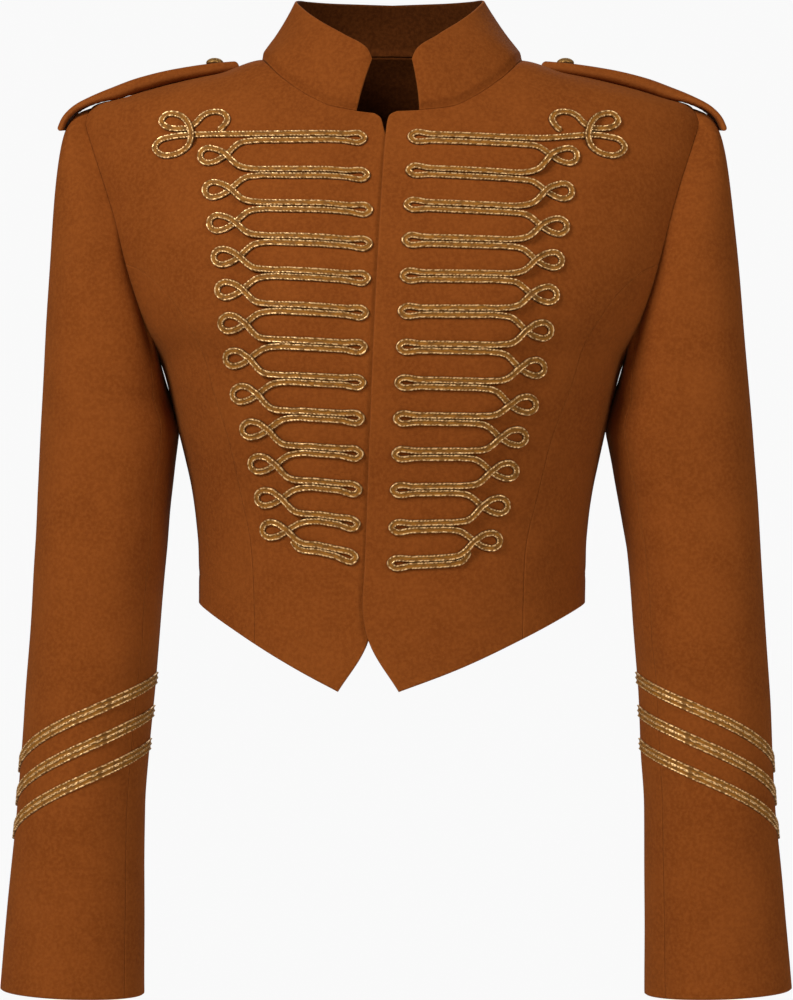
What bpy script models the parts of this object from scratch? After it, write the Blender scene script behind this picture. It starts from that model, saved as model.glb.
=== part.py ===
"""Cropped jacket with braided fronts, filled out and hollow, in millimetres worked to metres.

The frame: +Z up, the jacket faces -Y, +X is the viewer's right. The origin lies between the two
points where the neck seam meets the shoulder line, in the middle of the neck.
Every cloth piece is a wall cut from one of three smooth surfaces: the torso, the sleeve tube and
the collar band. A piece that lies on a panel is made from that panel's own surface, moved out.
"""
import math

import bmesh
import bpy
import numpy as np

MM = 0.001

# Cloth and seams
CLOTH = 2.2
SEAM_GAP = 0.3
LAP_CLEAR = 0.8

# Torso rings: height, half width, depth in front, depth behind
TORSO_RINGS = {
    "z":     [-450, -377, -342, -321, -300, -279, -258, -237, -211, -188, -160, -132, -104,
              -70, -46, -33, -27, -20, -14, -8, -2, 5, 12],
    "width": [138, 135, 135.3, 137, 140, 144.5, 149.5, 154.5, 162, 178, 192.5, 203, 211,
              219, 219, 210, 197, 176, 152, 122, 90, 85, 80],
    "front": [104, 103, 104, 106.5, 109, 113, 117, 120, 122, 122, 117.5, 112.5, 103,
              88, 78, 71, 67.5, 62, 57.5, 52, 45, 38, 30],
    "back":  [88, 87, 86, 86.5, 88, 90, 92.5, 95.5, 99, 102, 104, 104.5, 103.5,
              98, 91, 85.5, 82.5, 79.5, 77, 74, 71, 66, 60],
}
TORSO_POWER = 2.2
TURN_STEP = 0.004
HEIGHT_STEP = 0.4

# Armhole: height and half width of its front and back edges
TIP_Z = -33
UNDERARM_Z = -211
ARMHOLE = {
    "z":     [-211, -200, -187, -172, -144, -116, -88, -60, -45, -33],
    "front": [162, 163.5, 170, 175, 183.5, 190.5, 199, 208.5, 212.5, 210],
    "back":  [162, 167, 174.5, 181, 191, 197, 203, 210, 213.5, 210],
}
ARM_UPPER = 7
ARM_LOWER = 5
ARM_BACK = 11

# Neck seam, from the closing edge to the shoulder, then to the centre back
NECK_SIDE_Z = -2
NECK_FRONT = {
    "x": [23, 40, 56, 72.5, 81.5, 88, 90],
    "z": [-42, -39.5, -32, -20, -11.8, -4.5, NECK_SIDE_Z],
}
NECK_BACK = {"turn": [90, 115, 140, 160, 180], "z": [NECK_SIDE_Z, 4, 8.5, 10.5, 11]}
NECK_APART = 8
NECK_STEPS = 6
NECK_BACK_STEPS = 5
SHOULDER_STEPS = 5

# Seam from the armhole down to the hem
PRINCESS = {
    "x": [172, 160, 150, 132, 120, 108, 100, 89.5],
    "z": [-150, -160, -171, -200, -232, -266, -300, -351],
}
PRINCESS_STEPS = 12
PRINCESS_HEM_X = 88.5

# Pointed front hem, seen on its own side, from its tip to the side seam
HEM_SIDE_X = 135
HEM_SIDE_Z = -379
HEM_TIP_Z = -436
HEM = {
    "right": {"x": [4.5, 45, 88.5, HEM_SIDE_X], "z": [HEM_TIP_Z, -421, -401.5, HEM_SIDE_Z]},
    "left": {"x": [36.5, 63, 97, HEM_SIDE_X], "z": [HEM_TIP_Z, -421, -401.5, HEM_SIDE_Z]},
}

# Closing edges of the two fronts, seen on their own side, and where the collar starts
EDGES = {
    "right": {
        "x": [3, -2, -4, -8.5, -12.5, -15.7, -18.7, -20, -18, -13.5, 4.5],
        "z": [-42.6, -45.5, -54, -120, -200, -280, -355, -377, -390, -403, HEM_TIP_Z],
    },
    "left": {
        "x": [12, 7.6, 5.3, -2.5, -3, 1.5, 4.7, 8, 10.5, 16.5, 36.5],
        "z": [-42.6, -46, -54, -76, -120, -200, -280, -355, -380, -403, HEM_TIP_Z],
    },
}
COLLAR_START = {"right": 18.5, "left": 24.0}
LAP_FULL = 12
LAP_BLEND = 42

# Collar top edge by its share of the half neck seam
COLLAR_TOP = {
    "share": [0, 0.05, 0.18, 0.34, 0.5, 0.64, 0.78, 0.9, 1],
    "x":     [14, 17.5, 32, 48.5, 61, 67, 62, 38, 0],
    "y":     [-67, -66, -57.5, -43.5, -25, -3, 22, 42, 49],
    "z":     [-7, 1, 10.4, 21, 32.3, 41, 45, 46.2, 46],
}
COLLAR_NARROW = {"right": 0.93, "left": 0.985}
COLLAR_NARROW_FROM = 0.3
COLLAR_ROWS = 4
COLLAR_BOW = 2.0

# Sleeve rings below the underarm, and the turn of its two seams round the tube
SLEEVE_RINGS = {
    "z":      [-647, -600, -560, -520, -480, -440, -400, -360, -320, -285, -258, -237],
    "inner":  [173, 173, 173, 172.5, 169.5, 166.5, 163.5, 160.5, 156.5, 152.6, 150.6, 156.2],
    "outer":  [273.5, 269.5, 266, 262, 259, 256.5, 253.5, 251, 248.5, 246.8, 245.3, 244],
    "centre": [-27, -26, -25, -24, -22, -20, -17, -13, -8, -4.5, -3, -2],
    "depth":  [88, 86, 86, 88, 93, 99, 105, 111, 117, 122, 125.5, 128],
}
SLEEVE_SWAY = {
    "z":     [-647, -560, -485, -440, -341, -300, -258, -237],
    "right": [3.2, 3.0, 4.5, 5.6, 6.2, 6.0, 5.6, 5.2],
    "left":  [-2.4, -2.1, -2.1, -2.1, -1.6, -0.4, 0.6, 0.9],
}
SWAY_INNER = {"z": [-485, -440, -341, -258], "share": [0.6, 0.75, 0.85, 0]}
SLEEVE_STAND = 0.55
CAP_STEPS = [0, 0.11, 0.23, 0.36, 0.50, 0.64, 0.81]
CAP_OUT = 0.75
CAP_DROP_TOP = 0.04
CAP_DROP_SIDE = 0.3
CAP_DROP_UNDER = 0.75
CAP_UNDER_POWER = 6
FRONT_SEAM_TURN = 40
FRONT_SEAM_COLUMN = 3
BACK_SEAM_COLUMN = 6

# Shoulder straps: underside route, width and thickness
STRAP = {
    "x": [104, 125, 150, 176, 195, 208, 219, 227, 231],
    "z": [-4.0, -7.8, -12.2, -17.9, -24.0, -28.8, -34.2, -42, -50.5],
}
STRAP_THICK = 4.0
STRAP_WIDE = 38
STRAP_NARROW = 30
STRAP_STEPS = 12
STRAP_POINTS_ACROSS = 7
STRAP_SHIFT = -2
STRAP_POINT = [0.45, 0.85]
STRAP_CROWN = 0.35
STRAP_TILT = 0.11
STRAP_TILT_FROM = 150
STRAP_TILT_FULL = 200

# Buttons
BUTTON_X = 124
BUTTON_RADIUS = 6.2
BUTTON_DOME = 4.9
BUTTON_BACK = 2.1
BUTTON_SEAT = 0.6
BUTTON_SIDES = 14
BUTTON_RINGS = 8

# Braid on the fronts
BRAID_WIDE = 4.5
BRAID_TOP = 3.2
BRAID_THICK = 1.6
BRAID_REST = 0.8
BRAID_LIFT = 2.1
BRAID_PITCH = 4.7
TURN_BULB = 3.6
TURN_LONG = 18.0
ROW_COUNT = 13
ROW_FIRST_Z = -60.6
ROW_LAST_Z = -345.5
ROW_END = {
    "right": {"z": [-350, -60], "x": [14.5, 14]},
    "left": {"z": [-350, -300, -130, -84, -60], "x": [4.5, 3, 5, 9, 13.5]},
}
EYE = {"z": [-346, -262, -214, -143, -72], "x": [72, 87, 98.5, 108, 118.5]}
EYE_LONG = 18.5
EYE_HIGH = 10.5
EYE_LEAD = 20.0
EYE_FULLNESS = 1.3
EYE_POINTS = 10
EYE_OVER = 1.6
LEAD_SHARE = 0.45
LEAD_FALL = 0.18
LEAD_LIFT = 0.8
RUN_POINTS = 5
LAST_TAIL = 5.0

# Three-looped knot at the outer end of the first row: outward, up, and lift of each point
KNOT_X = 136
KNOT_Z = -54.7
KNOT_EXIT = 4
KNOT = {
    "out":  [-17, -22.5, -24, -19.5, -11.5, -5, 1, 10, 18, 21.5, 18, 10, 4, 0.5, 0, 3, 10, 20, 25.5, 22.5,
             13, 3],
    "up":   [1.5, 3, 7.5, 11, 9.2, 4.6, 1.6, 0.6, 2.4, 6.6, 11, 10.6, 6, -1.2, -7.2, -12.5, -17, -17.6,
             -12.5, -7.3, -4.8, -4.1],
    "lift": [0, 0, 0, 0, 0, 0, 0, 0, 0, 0, 0, 0, 0.7, 1, 0.9, 0, 0, 0, 0, 0, 0, 0],
}

# Cuff braids
CUFF_COUNT = 3
CUFF_WIDE = 8.4
CUFF_TOP = 7.4
CUFF_INNER_Z = -430
CUFF_DROP = 59
CUFF_STEP = 22.9
CUFF_CURVE = 1.4

FINISHES = {
    "wool": {"colour": (0.225, 0.068, 0.013, 1), "roughness": 0.9, "metallic": 0.0},
    "gold braid": {"colour": (0.42, 0.24, 0.08, 1), "roughness": 0.45, "metallic": 0.6},
    "brass": {"colour": (0.60, 0.40, 0.12, 1), "roughness": 0.35, "metallic": 1.0},
}


def clear_scene():
    for item in list(bpy.data.objects):
        bpy.data.objects.remove(item, do_unlink=True)


def make_finish(name, colour, roughness, metallic):
    material = bpy.data.materials.new(name)
    material.use_nodes = True
    shader = material.node_tree.nodes["Principled BSDF"]
    shader.inputs["Base Color"].default_value = colour
    shader.inputs["Roughness"].default_value = roughness
    shader.inputs["Metallic"].default_value = metallic
    return material


def curve_at(xs, ys, at):
    """Smooth curve through the points (xs, ys), xs rising, that never overshoots them."""
    xs = np.asarray(xs, float)
    ys = np.asarray(ys, float)
    step = np.diff(xs)
    slope = np.diff(ys) / step
    lean = np.zeros(len(xs))
    same = slope[:-1] * slope[1:] > 0
    with np.errstate(divide="ignore", invalid="ignore"):
        mean = 2 * slope[:-1] * slope[1:] / (slope[:-1] + slope[1:])
    lean[1:-1] = np.where(same, mean, 0)
    lean[0] = slope[0]
    lean[-1] = slope[-1]
    at = np.clip(np.asarray(at, float), xs[0], xs[-1])
    k = np.clip(np.searchsorted(xs, at) - 1, 0, len(xs) - 2)
    t = (at - xs[k]) / step[k]
    rise = ys[k] + (ys[k + 1] - ys[k]) * t * t * (3 - 2 * t)
    return rise + step[k] * t * (1 - t) * (lean[k] * (1 - t) - lean[k + 1] * t)


def smooth_step(low, high, value):
    t = np.clip((value - low) / (high - low), 0, 1)
    return t * t * (3 - 2 * t)


def along(points, count):
    """count + 1 points evenly spaced along a smooth line through the given ones."""
    points = np.asarray(points, float)
    chord = np.r_[0, np.cumsum(np.linalg.norm(np.diff(points, axis=0), axis=1))]
    fine = np.linspace(0, chord[-1], 40 * len(points))
    line = np.stack([curve_at(chord, column, fine) for column in points.T], axis=1)
    length = np.r_[0, np.cumsum(np.linalg.norm(np.diff(line, axis=0), axis=1))]
    even = np.linspace(0, length[-1], count + 1)
    return np.stack([np.interp(even, length, column) for column in line.T], axis=1)


def unit(vectors):
    return vectors / np.linalg.norm(vectors, axis=-1, keepdims=True)


# Torso surface

def ring(column, z):
    return curve_at(TORSO_RINGS["z"], TORSO_RINGS[column], z)


def torso_raw(turn, z):
    """Point of the torso at a turn in radians, 0 at the centre front and pi at the centre back."""
    sine = np.sin(turn)
    cosine = np.cos(turn)
    power = 2 / TORSO_POWER
    x = ring("width", z) * np.sign(sine) * np.abs(sine) ** power
    depth = np.where(cosine > 0, -ring("front", z), ring("back", z))
    return np.stack([x, depth * np.abs(cosine) ** power, np.broadcast_to(z, x.shape)], axis=-1)


def torso(turn, z):
    """Point of the torso and the outward normal there."""
    turn = np.asarray(turn, float)
    z = np.asarray(z, float)
    across = torso_raw(turn + TURN_STEP, z) - torso_raw(turn - TURN_STEP, z)
    up = torso_raw(turn, z + HEIGHT_STEP) - torso_raw(turn, z - HEIGHT_STEP)
    return torso_raw(turn, z), unit(np.cross(across, up))


def turn_of(x, z):
    """Turn of the point of the front half at half width x and height z."""
    share = np.clip(x / ring("width", z), -1, 1)
    return np.arcsin(np.sign(share) * np.abs(share) ** (TORSO_POWER / 2))


def edge_x(side, z):
    table = EDGES[side]
    return curve_at(table["z"][::-1], table["x"][::-1], z)


def front_point(side, turn, z):
    """Front surface, on its own side; the left front sinks below the right one at the closing."""
    point, normal = torso(turn, z)
    if side == "left":
        from_edge = point[..., 0] + edge_x("right", point[..., 2])
        sunk = 1 - smooth_step(LAP_FULL, LAP_BLEND, from_edge)
        point = point - normal * ((CLOTH + LAP_CLEAR) * sunk)[..., None]
    return point, normal


def hem_z(side, x):
    return curve_at(HEM[side]["x"], HEM[side]["z"], x)


# Seam lines, each as an array of turn and height

def armhole_line(edge, count):
    """Armhole from the shoulder tip to the underarm, closest at both ends."""
    swing = np.linspace(0, math.pi, count + 1)
    middle = (TIP_Z + UNDERARM_Z) / 2
    z = middle + (TIP_Z - UNDERARM_Z) / 2 * np.cos(swing)
    turn = turn_of(curve_at(ARMHOLE["z"], ARMHOLE[edge], z), z)
    turn[[0, -1]] = math.pi / 2
    if edge == "back":
        turn = math.pi - turn
    return np.stack([turn, z], axis=1)


def princess_line(side):
    start = armhole_line("front", ARM_UPPER + ARM_LOWER)[ARM_UPPER]
    first = torso(start[0], start[1])[0]
    hem = (PRINCESS_HEM_X, float(hem_z(side, PRINCESS_HEM_X)))
    route = [(first[0], first[2]), *zip(PRINCESS["x"], PRINCESS["z"]), hem]
    line = along(route, PRINCESS_STEPS)
    turn = turn_of(line[:, 0], line[:, 1])
    turn[0] = start[0]
    return np.stack([turn, line[:, 1]], axis=1)


def side_line():
    z = np.linspace(UNDERARM_Z, HEM_SIDE_Z, PRINCESS_STEPS + 1)
    return np.stack([np.full_like(z, math.pi / 2), z], axis=1)


def shoulder_line():
    """Shoulder ridge from the neck to the tip, evenly spaced."""
    top = [(x, z) for x, z in zip(TORSO_RINGS["width"], TORSO_RINGS["z"]) if TIP_Z <= z <= NECK_SIDE_Z]
    line = along(top[::-1], SHOULDER_STEPS)
    return np.stack([np.full(len(line), math.pi / 2), line[:, 1]], axis=1)


def neck_front_line(side):
    """Neck seam from the collar's front end to the shoulder."""
    start = COLLAR_START[side]
    first = (start, float(curve_at(NECK_FRONT["x"][:3], NECK_FRONT["z"][:3], start)))
    later = [p for p in zip(NECK_FRONT["x"], NECK_FRONT["z"]) if p[0] > start + NECK_APART]
    line = along([first, *later], NECK_STEPS)
    turn = turn_of(line[:, 0], line[:, 1])
    turn[-1] = math.pi / 2
    return np.stack([turn, line[:, 1]], axis=1)


def neck_back_line():
    turn = np.radians(np.linspace(90, 180, NECK_BACK_STEPS + 1))
    return np.stack([turn, curve_at(NECK_BACK["turn"], NECK_BACK["z"], np.degrees(turn))], axis=1)


# Building solids

def patch(left, right, top, bottom):
    """Grid of turn and height that fills the space between four edge lines."""
    u = np.linspace(0, 1, len(top))[None, :, None]
    v = np.linspace(0, 1, len(left))[:, None, None]
    sides = left[:, None] * (1 - u) + right[:, None] * u
    ends = top[None] * (1 - v) + bottom[None] * v
    corners = (top[0] * (1 - u) + top[-1] * u) * (1 - v) + (bottom[0] * (1 - u) + bottom[-1] * u) * v
    return sides + ends - corners


def drawn_back(line, beside):
    """Step of half the seam gap from an edge line towards the line beside it, square to the edge."""
    edge = unit(np.gradient(line, axis=0))
    step = beside - line
    step = step - edge * np.sum(step * edge, axis=1, keepdims=True)
    return unit(step) * SEAM_GAP / 2


def inset(grid, edges):
    """Draws the named edges of a grid back by half the seam gap."""
    moved = grid.copy()
    if "top" in edges:
        moved[0] += drawn_back(grid[0], grid[1])
    if "left" in edges:
        moved[:, 0] += drawn_back(grid[:, 0], grid[:, 1])
    if "right" in edges:
        moved[:, -1] += drawn_back(grid[:, -1], grid[:, -2])
    return moved


def add_mesh(name, points, faces, finish, side="right"):
    """Adds a closed mesh, mirrored for the left side, with its faces turned outwards."""
    points = np.asarray(points, float) * MM
    if side == "left":
        points = points * (-1, 1, 1)
    mesh = bpy.data.meshes.new(name)
    mesh.from_pydata(points.tolist(), [], faces)
    work = bmesh.new()
    work.from_mesh(mesh)
    bmesh.ops.triangulate(work, faces=work.faces, quad_method="SHORT_EDGE")
    bmesh.ops.recalc_face_normals(work, faces=work.faces)
    if work.calc_volume(signed=True) < 0:
        bmesh.ops.reverse_faces(work, faces=work.faces)
    work.to_mesh(mesh)
    work.free()
    mesh.materials.append(FINISH[finish])
    mesh.shade_smooth()
    item = bpy.data.objects.new(name, mesh)
    JACKET.objects.link(item)
    return item


def wall(name, outer, inner, side="right", finish="wool"):
    """Closed wall between an outer and an inner grid of the same size."""
    rows, columns = outer.shape[:2]
    index = np.arange(rows * columns).reshape(rows, columns)
    back = index + rows * columns
    faces = []
    for grid, step in ((index, 1), (back, -1)):
        corners = (grid[:-1, :-1], grid[1:, :-1], grid[1:, 1:], grid[:-1, 1:])
        quads = np.stack([c.ravel() for c in corners], axis=1)
        faces += quads[:, ::step].tolist()
    rim = np.r_[index[0, :-1], index[:-1, -1], index[-1, :0:-1], index[:0:-1, 0]]
    rim_back = rim + rows * columns
    following = np.roll(rim, -1)
    following_back = np.roll(rim_back, -1)
    faces += np.stack([rim, following, following_back, rim_back], axis=1).tolist()
    points = np.r_[outer.reshape(-1, 3), inner.reshape(-1, 3)]
    return add_mesh(name, points, faces, finish, side)


def ribbon(name, sections, side, finish):
    """Closed strip through a row of four-cornered sections."""
    count = len(sections)
    index = np.arange(count * 4).reshape(count, 4)
    faces = [index[0].tolist(), index[-1, ::-1].tolist()]
    for k in range(4):
        here = index[:, k]
        there = index[:, (k + 1) % 4]
        faces += np.stack([here[:-1], there[:-1], there[1:], here[1:]], axis=1).tolist()
    return add_mesh(name, sections.reshape(-1, 3), faces, finish, side)


def strip_sections(points, normals, wide, top, rest):
    """Four corners at each point: a flat base at the rest height and a narrower top."""
    ahead = unit(np.gradient(points, axis=0))
    across = unit(np.cross(ahead, normals))
    base = points + normals * rest[:, None]
    crown = base + normals * BRAID_THICK
    return np.stack([base - across * wide / 2, base + across * wide / 2,
                     crown + across * top / 2, crown - across * top / 2], axis=1)


# Torso panels

def front(side):
    edge = EDGES[side]
    rows = ARM_UPPER + PRINCESS_STEPS
    closing = along(list(zip(edge["x"], edge["z"])), rows)
    left = np.stack([turn_of(closing[:, 0], closing[:, 1]), closing[:, 1]], axis=1)
    neck = neck_front_line(side)
    halfway = (left[0] + neck[0]) / 2
    top = np.r_[left[:1], [halfway], neck, shoulder_line()[1:]]
    right = np.r_[armhole_line("front", ARM_UPPER + ARM_LOWER)[:ARM_UPPER], princess_line(side)]
    x = np.linspace(edge["x"][-1], PRINCESS_HEM_X, len(top))
    z = hem_z(side, x)
    bottom = np.stack([turn_of(x, z), z], axis=1)
    grid = patch(left, right, top, bottom)
    outer, normal = front_point(side, grid[..., 0], grid[..., 1])
    seams = ("top", "right")
    return wall("front_" + side, inset(outer, seams), inset(outer - normal * CLOTH, seams), side)


def side_front(side):
    left = princess_line(side)
    right = side_line()
    top = armhole_line("front", ARM_UPPER + ARM_LOWER)[ARM_UPPER:]
    x = np.linspace(PRINCESS_HEM_X, HEM_SIDE_X, len(top))
    z = hem_z(side, x)
    bottom = np.stack([turn_of(x, z), z], axis=1)
    bottom[-1, 0] = math.pi / 2
    grid = patch(left, right, top, bottom)
    outer, normal = front_point(side, grid[..., 0], grid[..., 1])
    seams = ("top", "left", "right")
    return wall("side_front_" + side, inset(outer, seams), inset(outer - normal * CLOTH, seams), side)


def back():
    left = np.r_[armhole_line("back", ARM_BACK)[:-1], side_line()]
    top = np.r_[shoulder_line()[::-1], neck_back_line()[1:]]
    turns = np.linspace(math.pi / 2, math.pi, len(top))
    bottom = np.stack([turns, np.full_like(turns, HEM_SIDE_Z)], axis=1)
    share = np.linspace(0, 1, len(left))
    right = np.stack([np.full_like(share, math.pi),
                      top[-1, 1] + (HEM_SIDE_Z - top[-1, 1]) * share], axis=1)
    grid = patch(left, right, top, bottom)
    outer, normal = torso(grid[..., 0], grid[..., 1])
    whole = []
    for half in (outer, outer - normal * CLOTH):
        half[:, -1, 0] = 0
        whole.append(np.concatenate([half, half[:, -2::-1] * (-1, 1, 1)], axis=1))
    seams = ("top", "left", "right")
    return wall("back", inset(whole[0], seams), inset(whole[1], seams))


def collar():
    halves = []
    for side in ("left", "right"):
        line = np.r_[neck_front_line(side), neck_back_line()[1:]]
        split = NECK_STEPS + 1
        base = np.r_[front_point(side, line[:split, 0], line[:split, 1])[0],
                     torso(line[split:, 0], line[split:, 1])[0]]
        length = np.r_[0, np.cumsum(np.linalg.norm(np.diff(base, axis=0), axis=1))]
        share = length / length[-1]
        rim = np.stack([curve_at(COLLAR_TOP["share"], COLLAR_TOP[c], share) for c in "xyz"], axis=1)
        rim[:, 0] *= 1 - (1 - COLLAR_NARROW[side]) * smooth_step(0, COLLAR_NARROW_FROM, share)
        rise = np.linspace(0, 1, COLLAR_ROWS + 1)[:, None, None]
        band = base + (rim - base) * rise
        out = unit(band * (1, 1, 0))
        band = band + out * (COLLAR_BOW * np.sin(math.pi * rise))
        band[0] += (0, 0, SEAM_GAP)
        band[:, -1, 0] = 0
        halves.append(band)
    outer = np.concatenate([halves[0] * (-1, 1, 1), halves[1][:, -2::-1]], axis=1)
    across = np.gradient(outer, axis=1)
    up = np.gradient(outer, axis=0)
    normal = unit(np.cross(across, up))
    return wall("collar", outer, outer - normal * CLOTH)


# Sleeves

def sleeve_turns():
    before = np.linspace(0, FRONT_SEAM_TURN, FRONT_SEAM_COLUMN + 1)
    after = np.linspace(FRONT_SEAM_TURN, 180, ARM_UPPER + ARM_LOWER - FRONT_SEAM_COLUMN + 1)
    behind = np.linspace(180, 360, ARM_BACK + 1)
    return np.r_[before, after[1:], behind[1:-1]]


def sway(side, turns, z):
    """Step by which the arm hangs further from the body, or nearer to it; less at the underarm."""
    whole = curve_at(SLEEVE_SWAY["z"], SLEEVE_SWAY[side], z)
    inner = np.interp(z, SWAY_INNER["z"], SWAY_INNER["share"])
    topness = (1 - np.cos(np.radians(turns))) / 2
    step = whole * (inner + (1 - inner) * topness)
    return np.stack([step, 0 * step, 0 * step], axis=-1)


def sleeve_ring(turns, z):
    inner, outer, centre, depth = (
        curve_at(SLEEVE_RINGS["z"], SLEEVE_RINGS[c], z) for c in ("inner", "outer", "centre", "depth"))
    angle = np.radians(turns)
    x = (inner + outer) / 2 - (outer - inner) / 2 * np.cos(angle)
    y = centre - depth / 2 * np.sin(angle)
    return np.stack([x, y, np.broadcast_to(z, x.shape)], axis=-1)


def sleeve_grid(side):
    """Sleeve tube as rows from the armhole to the cuff, with its outward normals.

    Each column starts at the armhole, rolls over the sleeve head on a cubic curve whose two
    middle points coincide, and then follows the rings down to the cuff.
    """
    front_edge = armhole_line("front", ARM_UPPER + ARM_LOWER)[::-1]
    back_edge = armhole_line("back", ARM_BACK)[1:-1]
    start, lift = torso(*np.r_[front_edge, back_edge].T)
    start = start + lift * SLEEVE_STAND
    turns = sleeve_turns()
    below = SLEEVE_RINGS["z"][::-1]
    first = sleeve_ring(turns, below[0])
    topness = (1 - np.cos(np.radians(turns))) / 2
    drop = CAP_DROP_SIDE + (CAP_DROP_TOP - CAP_DROP_SIDE) * topness ** 2
    drop = drop + (CAP_DROP_UNDER - CAP_DROP_SIDE) * (1 - topness) ** CAP_UNDER_POWER
    corner = start + (first - start) * np.stack([np.full_like(drop, CAP_OUT)] * 2 + [drop], axis=1)
    rows = []
    for t in CAP_STEPS:
        middle = 3 * t * (1 - t)
        rows.append(start * (1 - t) ** 3 + corner * middle + (first + sway(side, turns, below[0])) * t ** 3)
    rows += [sleeve_ring(turns, z) + sway(side, turns, z) for z in below]
    grid = np.array(rows)
    across = np.roll(grid, -1, axis=1) - np.roll(grid, 1, axis=1)
    down = np.gradient(grid, axis=0)
    normal = unit(np.cross(down, across))
    grid[0] += unit(grid[1] - grid[0]) * SEAM_GAP / 2
    return grid, normal


def sleeve(side):
    grid, normal = sleeve_grid(side)
    inside = grid - normal * CLOTH
    count = grid.shape[1]
    back_seam = ARM_UPPER + ARM_LOWER + BACK_SEAM_COLUMN
    upper = np.arange(FRONT_SEAM_COLUMN, back_seam + 1)
    under = np.arange(back_seam, count + FRONT_SEAM_COLUMN + 1) % count
    for name, columns in (("upper", upper), ("under", under)):
        seams = ("left", "right")
        outer = inset(grid[:, columns], seams)
        inner = inset(inside[:, columns], seams)
        wall(f"sleeve_{name}_{side}", outer, inner, side)


def cuff_braid(side, number):
    """Slanting strip round the sleeve, lowest at the outer edge, with its ends at the inner side."""
    grid, normal = sleeve_grid(side)
    turns = np.r_[sleeve_turns(), 360]
    closed = np.concatenate([grid, grid[:, :1]], axis=1)
    normals = np.concatenate([normal, normal[:, :1]], axis=1)
    share = 1 - np.abs(1 - turns / 180)
    heights = CUFF_INNER_Z - number * CUFF_STEP - CUFF_DROP * share ** CUFF_CURVE
    points = []
    lifts = []
    for column, z in enumerate(heights):
        line = closed[::-1, column]
        points.append([np.interp(z, line[:, 2], line[:, k]) for k in range(3)])
        lifts.append([np.interp(z, line[:, 2], normals[::-1, column, k]) for k in range(3)])
    points = np.array(points)
    points[0] += unit(points[1] - points[0]) * SEAM_GAP
    points[-1] += unit(points[-2] - points[-1]) * SEAM_GAP
    rest = np.full(len(points), BRAID_REST)
    sections = strip_sections(points, unit(np.array(lifts)), CUFF_WIDE, CUFF_TOP, rest)
    ribbon(f"cuff_braid_{side}_{number + 1}", sections, side, "gold braid")


# Shoulder straps and buttons

def strap_line():
    return along(list(zip(STRAP["x"], STRAP["z"])), STRAP_STEPS)


def strap(side):
    line = strap_line()
    ahead = unit(np.gradient(line, axis=0))
    up = np.stack([-ahead[:, 1], ahead[:, 0]], axis=1)
    share = np.linspace(0, 1, len(line))
    half = (STRAP_NARROW + (STRAP_WIDE - STRAP_NARROW) * share) / 2
    half[:len(STRAP_POINT)] *= STRAP_POINT
    across = np.linspace(-1, 1, STRAP_POINTS_ACROSS)
    crown = STRAP_THICK * (1 - STRAP_CROWN * across ** 4)
    under = np.zeros((len(line), len(across), 3))
    under[..., 0] = line[:, :1]
    under[..., 1] = STRAP_SHIFT + half[:, None] * across
    tilt = STRAP_TILT * smooth_step(STRAP_TILT_FROM, STRAP_TILT_FULL, line[:, :1])
    under[..., 2] = line[:, 1:] + tilt * half[:, None] * across
    over = under.copy()
    over[..., 0] += up[:, :1] * crown
    over[..., 2] += up[:, 1:] * crown
    wall("epaulette_" + side, over, under, side)


def button(side):
    line = strap_line()
    seat = float(np.interp(BUTTON_X, line[:, 0], line[:, 1])) + STRAP_THICK + BUTTON_SEAT
    work = bmesh.new()
    bmesh.ops.create_uvsphere(work, u_segments=BUTTON_SIDES, v_segments=BUTTON_RINGS, radius=1)
    points = np.array([v.co for v in work.verts])
    faces = [[v.index for v in f.verts] for f in work.faces]
    work.free()
    height = np.where(points[:, 2] > 0, BUTTON_DOME, BUTTON_BACK)
    points = points * np.stack([np.full(len(points), BUTTON_RADIUS)] * 2 + [height], axis=1)
    centre = np.array([BUTTON_X, STRAP_SHIFT, seat + BUTTON_BACK])
    return add_mesh("button_" + side, points + centre, faces, "brass", side)


# Braid on the fronts

def eye_loop(x, z):
    """Loop between two rows: out along its lower side, round the end, and back over the crossing."""
    swing = np.linspace(0, 2 * math.pi, EYE_POINTS)
    out = x + EYE_LONG * (1 - np.cos(swing)) / 2
    up = z - EYE_HIGH / 2 * EYE_FULLNESS * np.sin(swing) * np.sin(swing / 2)
    lift = np.where(swing > EYE_OVER * math.pi, 1.0, 0.0)
    return np.stack([out, up, lift], axis=1)


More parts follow.
